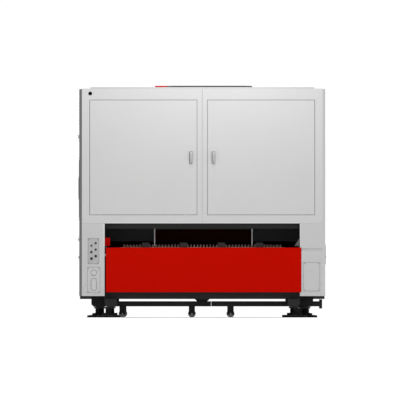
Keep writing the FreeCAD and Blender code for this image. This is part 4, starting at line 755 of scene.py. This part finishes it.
# ---------------------------------------------------------------------------------------------
# Loading end.  Black lifting guard with a yellow and black warning band and two grips, louvres in
# the panel, and a status light bar with three moulded lenses.
# ---------------------------------------------------------------------------------------------
paint(black_paint, "loading_guard")
bands_dark = []
for index in range(16):
    x = -930 + index * 120
    shape = [(x, 752), (x + 60, 752), (min(x + 120, 945), 800), (min(x + 60, 945), 800)]
    ring_low = np.array([(px, 2207.9, pz) for px, pz in shape])
    bands_dark.append(stacked([ring_low[::-1], ring_low[::-1] + (0, 0.7, 0)]))
fitted("guard_band", [pad((-945, 2207.5, 750), (945, 2208.4, 802), 1, 1, 0.2)], yellow_paint, "loading_guard")
fitted("guard_stripes", bands_dark, black_paint, "loading_guard", smooth=False)
grips = [curve([(x - 70, 2208, 880), (x - 62, 2226, 880), (x, 2230, 880), (x + 62, 2226, 880),
                (x + 70, 2208, 880)],
               32) for x in (-500, 500)]
fitted("guard_grips", [hose(grip, 6, 12) for grip in grips], dark_steel, "loading_guard")
fitted("end_louvres", [louvre((x, 2200, z), (1, 0, 0), (0, 1, 0)) for x in (-700, -450, 450, 700)
                       for z in range(1500, 1900, 34)], panel_coat)
fitted("light_bar_base", [pad((-260, 2200, 1990), (260, 2212, 2034), 1, 8, 3)], black_plastic)
# Polycarbonate lenses: strong clear colours with a hard gloss; polyamide: green and satin.
red_plastic = coated("red_polycarbonate_lens", "#b31410", 0.15, drift=0.02, coat=0.6)
amber_plastic = coated("amber_polycarbonate_lens", "#e08a12", 0.15, drift=0.02, coat=0.6)
green_plastic = coated("green_polyamide_terminal", "#2f7d4a", 0.45, drift=0.04)
for name, x, look in (("red", -165, red_plastic), ("amber", 0, amber_plastic), ("green", 165, green_plastic)):
    fitted(f"light_bar_{name}", [pad((x - 72, 2210, 1998), (x + 72, 2219, 2026), 1, 6, 4)], look)
fitted("end_screws", [socket_screw(x, 2200, z, 1, 1, 4.2, 2.6) for x in (-1080, -400, 400, 1080)
                      for z in (1240, 1450, 2190)], steel)

# ---------------------------------------------------------------------------------------------
# Electrical half of the cabinet.  Galvanised plate with slotted wire ducts, servo drive fronts with
# plugs, lamps and fins, a terminal row, breakers and contactors.
# ---------------------------------------------------------------------------------------------
paint(zinc_sheet, "cabinet_walls")
paint(black_moulding, "servo_drives")
ducts, lids = [], []
for z in (1350, 1560, 2010):
    ducts.append(pad((140, -1790, z), (1020, -1731, z + 48), 0, 3, 1))
    lids.append(pad((138, -1794, z - 1), (1022, -1789, z + 49), 0, 3, 1))
ducts.append(pad((1000, -1788, 1080), (1038, -1731, 2060), 2, 3, 1))
fitted("wire_ducts", ducts, grey_plastic)
fitted("wire_duct_lids", lids, coated("light_grey_duct_lid", "#a3a7ab", 0.5, drift=0.02))
fingers = [pad((146 + 12 * i, -1786, z + dz), (151 + 12 * i, -1783, z + dz + 9), 1, 1, 0.4, 2)
           for z in (1350, 1560, 2010) for dz in (-6, 45) for i in range(72)]
fitted("wire_duct_fingers", fingers, grey_plastic, smooth=False)
fronts, plugs, lamps_green, lamps_red, fins = [], [], [], [], []
for i in range(6):
    low = 160 + 145 * i
    fronts.append(pad((low + 6, -1916, 1652), (low + 104, -1908, 1948), 1, 5, 2))
    fronts.append(pad((low + 22, -1918.5, 1840), (low + 88, -1914, 1900), 1, 3, 1))
    for row in range(3):
        plugs.append(pad((low + 18, -1926, 1668 + 44 * row), (low + 92, -1914, 1690 + 44 * row), 1, 2, 1))
    lamps_green.append(spun((low + 30, -1916, 1925), 1, [(3.5, 0), (3.5, -1.2), (2, -2.2), (0, -2.4)], 16))
    lamps_red.append(spun((low + 44, -1916, 1925), 1, [(3.5, 0), (3.5, -1.2), (2, -2.2), (0, -2.4)], 16))
    for fin in range(9):
        fins.append(pad((low + 8 + 11 * fin, -1905, 1960), (low + 11 + 11 * fin, -1745, 1974), 2, 1, 0.6, 2))
fitted("drive_fronts", fronts, black_plastic)
fitted("drive_plugs", plugs, green_plastic)
fitted("drive_lamps", lamps_green, green_plastic)
fitted("drive_alarm_lamps", lamps_red, red_plastic)
fitted("drive_fins", fins, steel)
fitted("terminals", [pad((166 + 12.4 * i, -1816, 1428), (176.5 + 12.4 * i, -1808, 1492), 1, 1, 0.8, 2)
                     for i in range(66)], green_plastic)
fitted("terminal_screws", [spun((171 + 12.4 * i, -1816, z), 1, [(3, 0), (3, -0.8), (0, -0.8)], 12)
                           for i in range(66) for z in (1440, 1480)], steel)
fitted("breakers", [pad((166 + 27 * i, -1830, 1186), (190 + 27 * i, -1818, 1284), 1, 2, 1.5)
                    for i in range(22)],
       white_plastic)
fitted("breaker_levers", [pad((171 + 27 * i, -1842, 1226), (185 + 27 * i, -1829, 1246), 0, 2, 1.5)
                          for i in range(22)],
       black_plastic)
fitted("contactors", [pad((780 + 72 * i, -1830, 1186), (842 + 72 * i, -1731, 1284), 1, 3, 2)
                      for i in range(3)],
       black_plastic)

# ---------------------------------------------------------------------------------------------
# Laser source.  Painted steel case with a dark front, a red band, grab handles, a grille, a small
# screen, push buttons, a key switch and two brass water ports.
# ---------------------------------------------------------------------------------------------
# Textured case paint: off-white and satin; the front plate is a dark slate.
paint(coated("laser_source_paint", "#d9dadb", 0.45), "laser_source")
fitted("source_front", [pad((-985, -2116, 936), (-175, -2109, 1465), 1, 8, 3)],
       coated("source_front_coat", "#33373c", 0.45))
fitted("source_band", [pad((-985, -2118, 1330), (-175, -2115, 1372), 1, 2, 1)], red_coat)
grabs = [curve([(x, -2116, 1010), (x, -2150, 1018), (x, -2156, 1050), (x, -2156, 1170), (x, -2150, 1202),
                (x, -2116, 1210)], 36) for x in (-940, -220)]
fitted("source_handles", [hose(grab, 7, 12) for grab in grabs], steel)
fitted("source_grille", [pad((-860, -2119, 980 + 16 * i), (-520, -2114, 988 + 16 * i), 0, 2, 1)
                         for i in range(19)],
       black_plastic)
fitted("source_screen", [pad((-460, -2119, 1180), (-300, -2114.5, 1280), 1, 5, 1)],
       coated("source_screen_glass", "#14202b", 0.15, drift=0.0))
fitted("source_buttons", [spun((-450 + 36 * i, -2115, 1130), 1, [(10, 0), (10, -3), (8, -5), (0, -5.4)], 24)
                          for i in range(3)], steel)
fitted("source_key", [spun((-290, -2115, 1130), 1, [(16, 0), (16, -3), (12, -5), (5, -5), (5, -2), (0, -2)],
                           28)], brass)
fitted("water_ports", [spun((-300, y, 1479), 2,
                            [(17, 0), (17, 10), (14, 12), (14, 26), (12, 28), (11.5, 40)], 24)
                             for y in (-1980, -1930)], brass)

# ---------------------------------------------------------------------------------------------
# Cabinet doors.  Two coated leaves on ground pins.  EPDM lips pushed on the leaf edges close the
# gap to the panel; each die-cast lever has a plate and a key barrel; stiffeners are spot welded.
# ---------------------------------------------------------------------------------------------
paint(panel_coat, "rear_door_left", "rear_door_right")
paint(bearing_steel, "rear_door_pins")
# Painted die casting: mid grey, smoother than the sheet round it.
paint(coated("grey_die_cast_handle", "#9b9b9b", 0.4, drift=0.05), "handle_lever_left", "handle_lever_right")
# Grey EPDM: the panel's own tone but matt, so the gap reads as a thin soft line.
grey_rubber = coated("grey_epdm_door_seal", "#a9a9a9", 0.7, drift=0.03, shine=0.2)
SIDES = (("left", -1), ("right", 1))
for label, side in SIDES:
    inner, outer, foot, head, handle_inset = 54, 1095, 1005, 2120, 55.5
    lip = []
    for low, high in (((inner - 2.4, foot - 2.4), (inner, head + 2.4)),
                      ((outer, foot - 2.4), (outer + 2.0, head + 2.4)),
                      ((inner, foot - 2.4), (outer, foot)), ((inner, head), (outer, head + 2.4))):
        lip.append(pad((side * low[0], -2196.5, low[1]), (side * high[0], -2186, high[1]), 1, 0.8, 0.8))
    fitted(f"door_seal_{label}", lip, grey_rubber, f"rear_door_{label}")
    middle = side * (inner + handle_inset)
    fitted(f"handle_plate_{label}",
           [pad((middle - 17, -2201.2, 1502), (middle + 17, -2199.8, 1620), 1, 4, 0.5),
            pad((middle - 15.5, -2206.15, 1506), (middle - 12.4, -2203, 1616), 1, 1, 0.8)],
           dark_steel, f"rear_door_{label}")
    fitted(f"handle_shadow_{label}",
           [pad((middle - 10.6, -2222.2, 1524), (middle - 9.0, -2208, 1610), 2, 0.6, 0.5)],
           dark_steel, f"handle_lever_{label}")
    barrel = [(4.2, 0), (4.2, -0.9), (3.6, -1.3), (1.2, -1.3), (1.0, -0.6), (0, -0.6)]
    fitted(f"key_barrel_{label}", [spun((middle, -2206, 1512.5), 1, barrel, 24)],
           steel, f"rear_door_{label}")
    fitted(f"lever_pad_{label}",
           [pad((middle - 6.5, -2224.2, 1530), (middle + 6.5, -2222.5, 1588), 1, 5, 0.7)],
           grey_plastic, f"handle_lever_{label}")
    inside = [pad((side * 90, -2174.9, 1040), (side * 112, -2169, 2085), 1, 3, 1.5),
              pad((side * 560, -2177, 1030), (side * 600, -2168, 2095), 1, 3, 2)]
    fitted(f"door_stiffener_{label}", inside, zinc_sheet, f"rear_door_{label}")
    fitted(f"door_pocket_{label}", [pad((side * 660, -2174.5, 1180), (side * 1000, -2150, 1184), 2, 2, 1),
                                    pad((side * 660, -2152, 1180), (side * 1000, -2149, 1330), 1, 3, 1)],
           white_plastic, f"rear_door_{label}")
    cup = [(9, 0), (9, 1.4), (7, 2.2), (4.4, 2.2), (4.4, 1.0), (0, 1.0)]
    fitted(f"pin_cup_{label}", [spun((side * 1089, -2192, 2121.2), 2, cup, 24)], steel)

# ---------------------------------------------------------------------------------------------
# Service panels on the posts.  Coated plates with rubber-cored ports, union nuts and collars, a
# gasket line round each cover, crossed screw heads, and a rim and a tab on every knock-out.
# ---------------------------------------------------------------------------------------------
# Powder coat a shade darker; nitrile rubber: dead black; zinc plate: grey metal with a soft highlight.
paint(coated("port_plate_powder_coat", "#969696", 0.5, shine=0.25), "connector_plate")
paint(black_moulding, "service_ports")
paint(coated("black_nitrile_rubber", "#060606", 0.9, drift=0.1, shine=0.05), "cable_grommet")
paint(coated("zinc_plated_screw", "#8f9092", 0.35, drift=0.1, metallic=0.9), "cover_screws")
ports = ((-1039, 726, 8.75), (-1039, 664, 9.25), (-1039, 600, 11.75), (-1081, 702, 7.75), (-1081, 639, 10.25),
         (-1081, 576, 12.25))
cores, collars, nuts = [], [], []
for x, z, radius in ports:
    cores.append(spun((x, -2201.0, z), 1,
                      [(radius - 3.1, 0.6), (radius - 3.1, -0.6), (radius - 4.6, -1.0), (0, -1.0)], 28))
    collars.append(spun((x, -2203, z), 1, [(radius + 3.2, 0), (radius + 3.2, -0.8), (radius + 1.4, -1.4),
                                           (radius + 0.2, -1.4)], 32))
    nut = [np.column_stack((x + reach * np.cos(hexagon), np.full(6, depth), z - reach * np.sin(hexagon)))
           for reach, depth in ((radius + 1.9, -2204.2), (radius + 2.3, -2204.8), (radius + 2.3, -2206.6),
                                (radius + 1.9, -2207.2))]
    nuts.append(stacked([ring[::-1] for ring in nut]))
fitted("port_cores", cores, black_rubber)
fitted("port_collars", collars, grey_plastic)
fitted("port_nuts", nuts, dark_steel, smooth=False)
COVERS = ((-1113, -1009, 527, 771), (-1120, -998, 244, 490), (989, 1145, 261, 537))
gaskets = []
for left, right, low, high in COVERS:
    for start, end in (((left - 1.5, low - 1.5), (left, high + 1.5)),
                       ((right, low - 1.5), (right + 1.5, high + 1.5)),
                       ((left, low - 1.5), (right, low)), ((left, high), (right, high + 1.5))):
        gaskets.append(pad((start[0], -2201.6, start[1]), (end[0], -2199.5, end[1]), 1, 0.5, 0.3, 2))
fitted("cover_gaskets", gaskets, black_rubber)
slots = []
for left, right, low, high in COVERS:
    for x in (left + 9, right - 9):
        for z in (low + 9, high - 9):
            slots.append(pad((x - 3.1, -2206.3, z - 0.6), (x + 3.1, -2205.8, z + 0.6), 1, 0.4, 0.2, 2))
            slots.append(pad((x - 0.6, -2206.3, z - 3.1), (x + 0.6, -2205.8, z + 3.1), 1, 0.4, 0.2, 2))
fitted("screw_drives", slots, black_rubber, smooth=False)
turn = np.linspace(0, 2 * math.pi, 41)
rims = [hose(np.column_stack((-1058 + 28 * np.cos(turn), np.full(41, -2204.6), 438 + 28 * np.sin(turn))),
             1.2, 6)]
slot_path = corner_outline(54, 121, 27, 10)
slot_path = np.vstack((slot_path, slot_path[:1]))
rims.append(hose(np.column_stack((-1058 + slot_path[:, 0], np.full(len(slot_path), -2204.6),
                                  323.5 + slot_path[:, 1])), 1.2, 6))
fitted("knockout_rims", rims, dark_steel)
fitted("knockout_tabs", [pad((-1066, -2205.6, 434), (-1050, -2204.4, 442), 1, 3, 0.4),
                         pad((-1062, -2205.6, 300), (-1054, -2204.4, 347), 1, 3, 0.4)], hem_coat)

# ---------------------------------------------------------------------------------------------
# Scrap carts.  Sprayed sheet trays with a rolled rim, on rigid casters with cast nylon wheels; four
# screws hold each caster plate, and a nut closes each end of an axle.
# ---------------------------------------------------------------------------------------------
# Sprayed steel a shade lighter than the bed; cast nylon: plain grey and satin.
cart_paint = coated("satin_black_cart_paint", "#2d2d2e", 0.55, peel_mm=14.0, drift=0.12, shine=0.15)
paint(cart_paint, "left_cart", "right_cart")
paint(coated("cast_nylon_wheel", "#8f9092", 0.5, drift=0.1), "left_cart_wheels_near", "left_cart_wheels_far",
      "right_cart_wheels_near", "right_cart_wheels_far")
for label, low, high in (("left", -969, 86), ("right", 90, 1145)):
    rim = [(low + 2, -1698, 157), (high - 2, -1698, 157), (high - 2, 198, 157), (low + 2, 198, 157)]
    fitted(f"{label}_cart_rim", [hose([rim[i], rim[(i + 1) % 4]], 2.6, 8) for i in range(4)], cart_paint,
           f"{label}_cart")
    bolts, hubs = [], []
    for x in (low + 188, high - 188):
        for y in (-1630, 130):
            bolts += [spun((x + dx, y + dy, 112), 2, [(6, 0), (6, 3), (4.5, 4.4), (0, 4.4)], 14)
                      for dx in (-20, 20) for dy in (-12, 12)]
            hubs += [spun((x, y + end * 20, 37.5), 1,
                          [(8, 0), (8, end * 2.4), (5.5, end * 3.6), (0, end * 3.6)], 6)
                     for end in (-1, 1)]
    fitted(f"{label}_caster_bolts", bolts, steel, f"{label}_cart")
    fitted(f"{label}_axle_nuts", hubs, steel, f"{label}_cart")
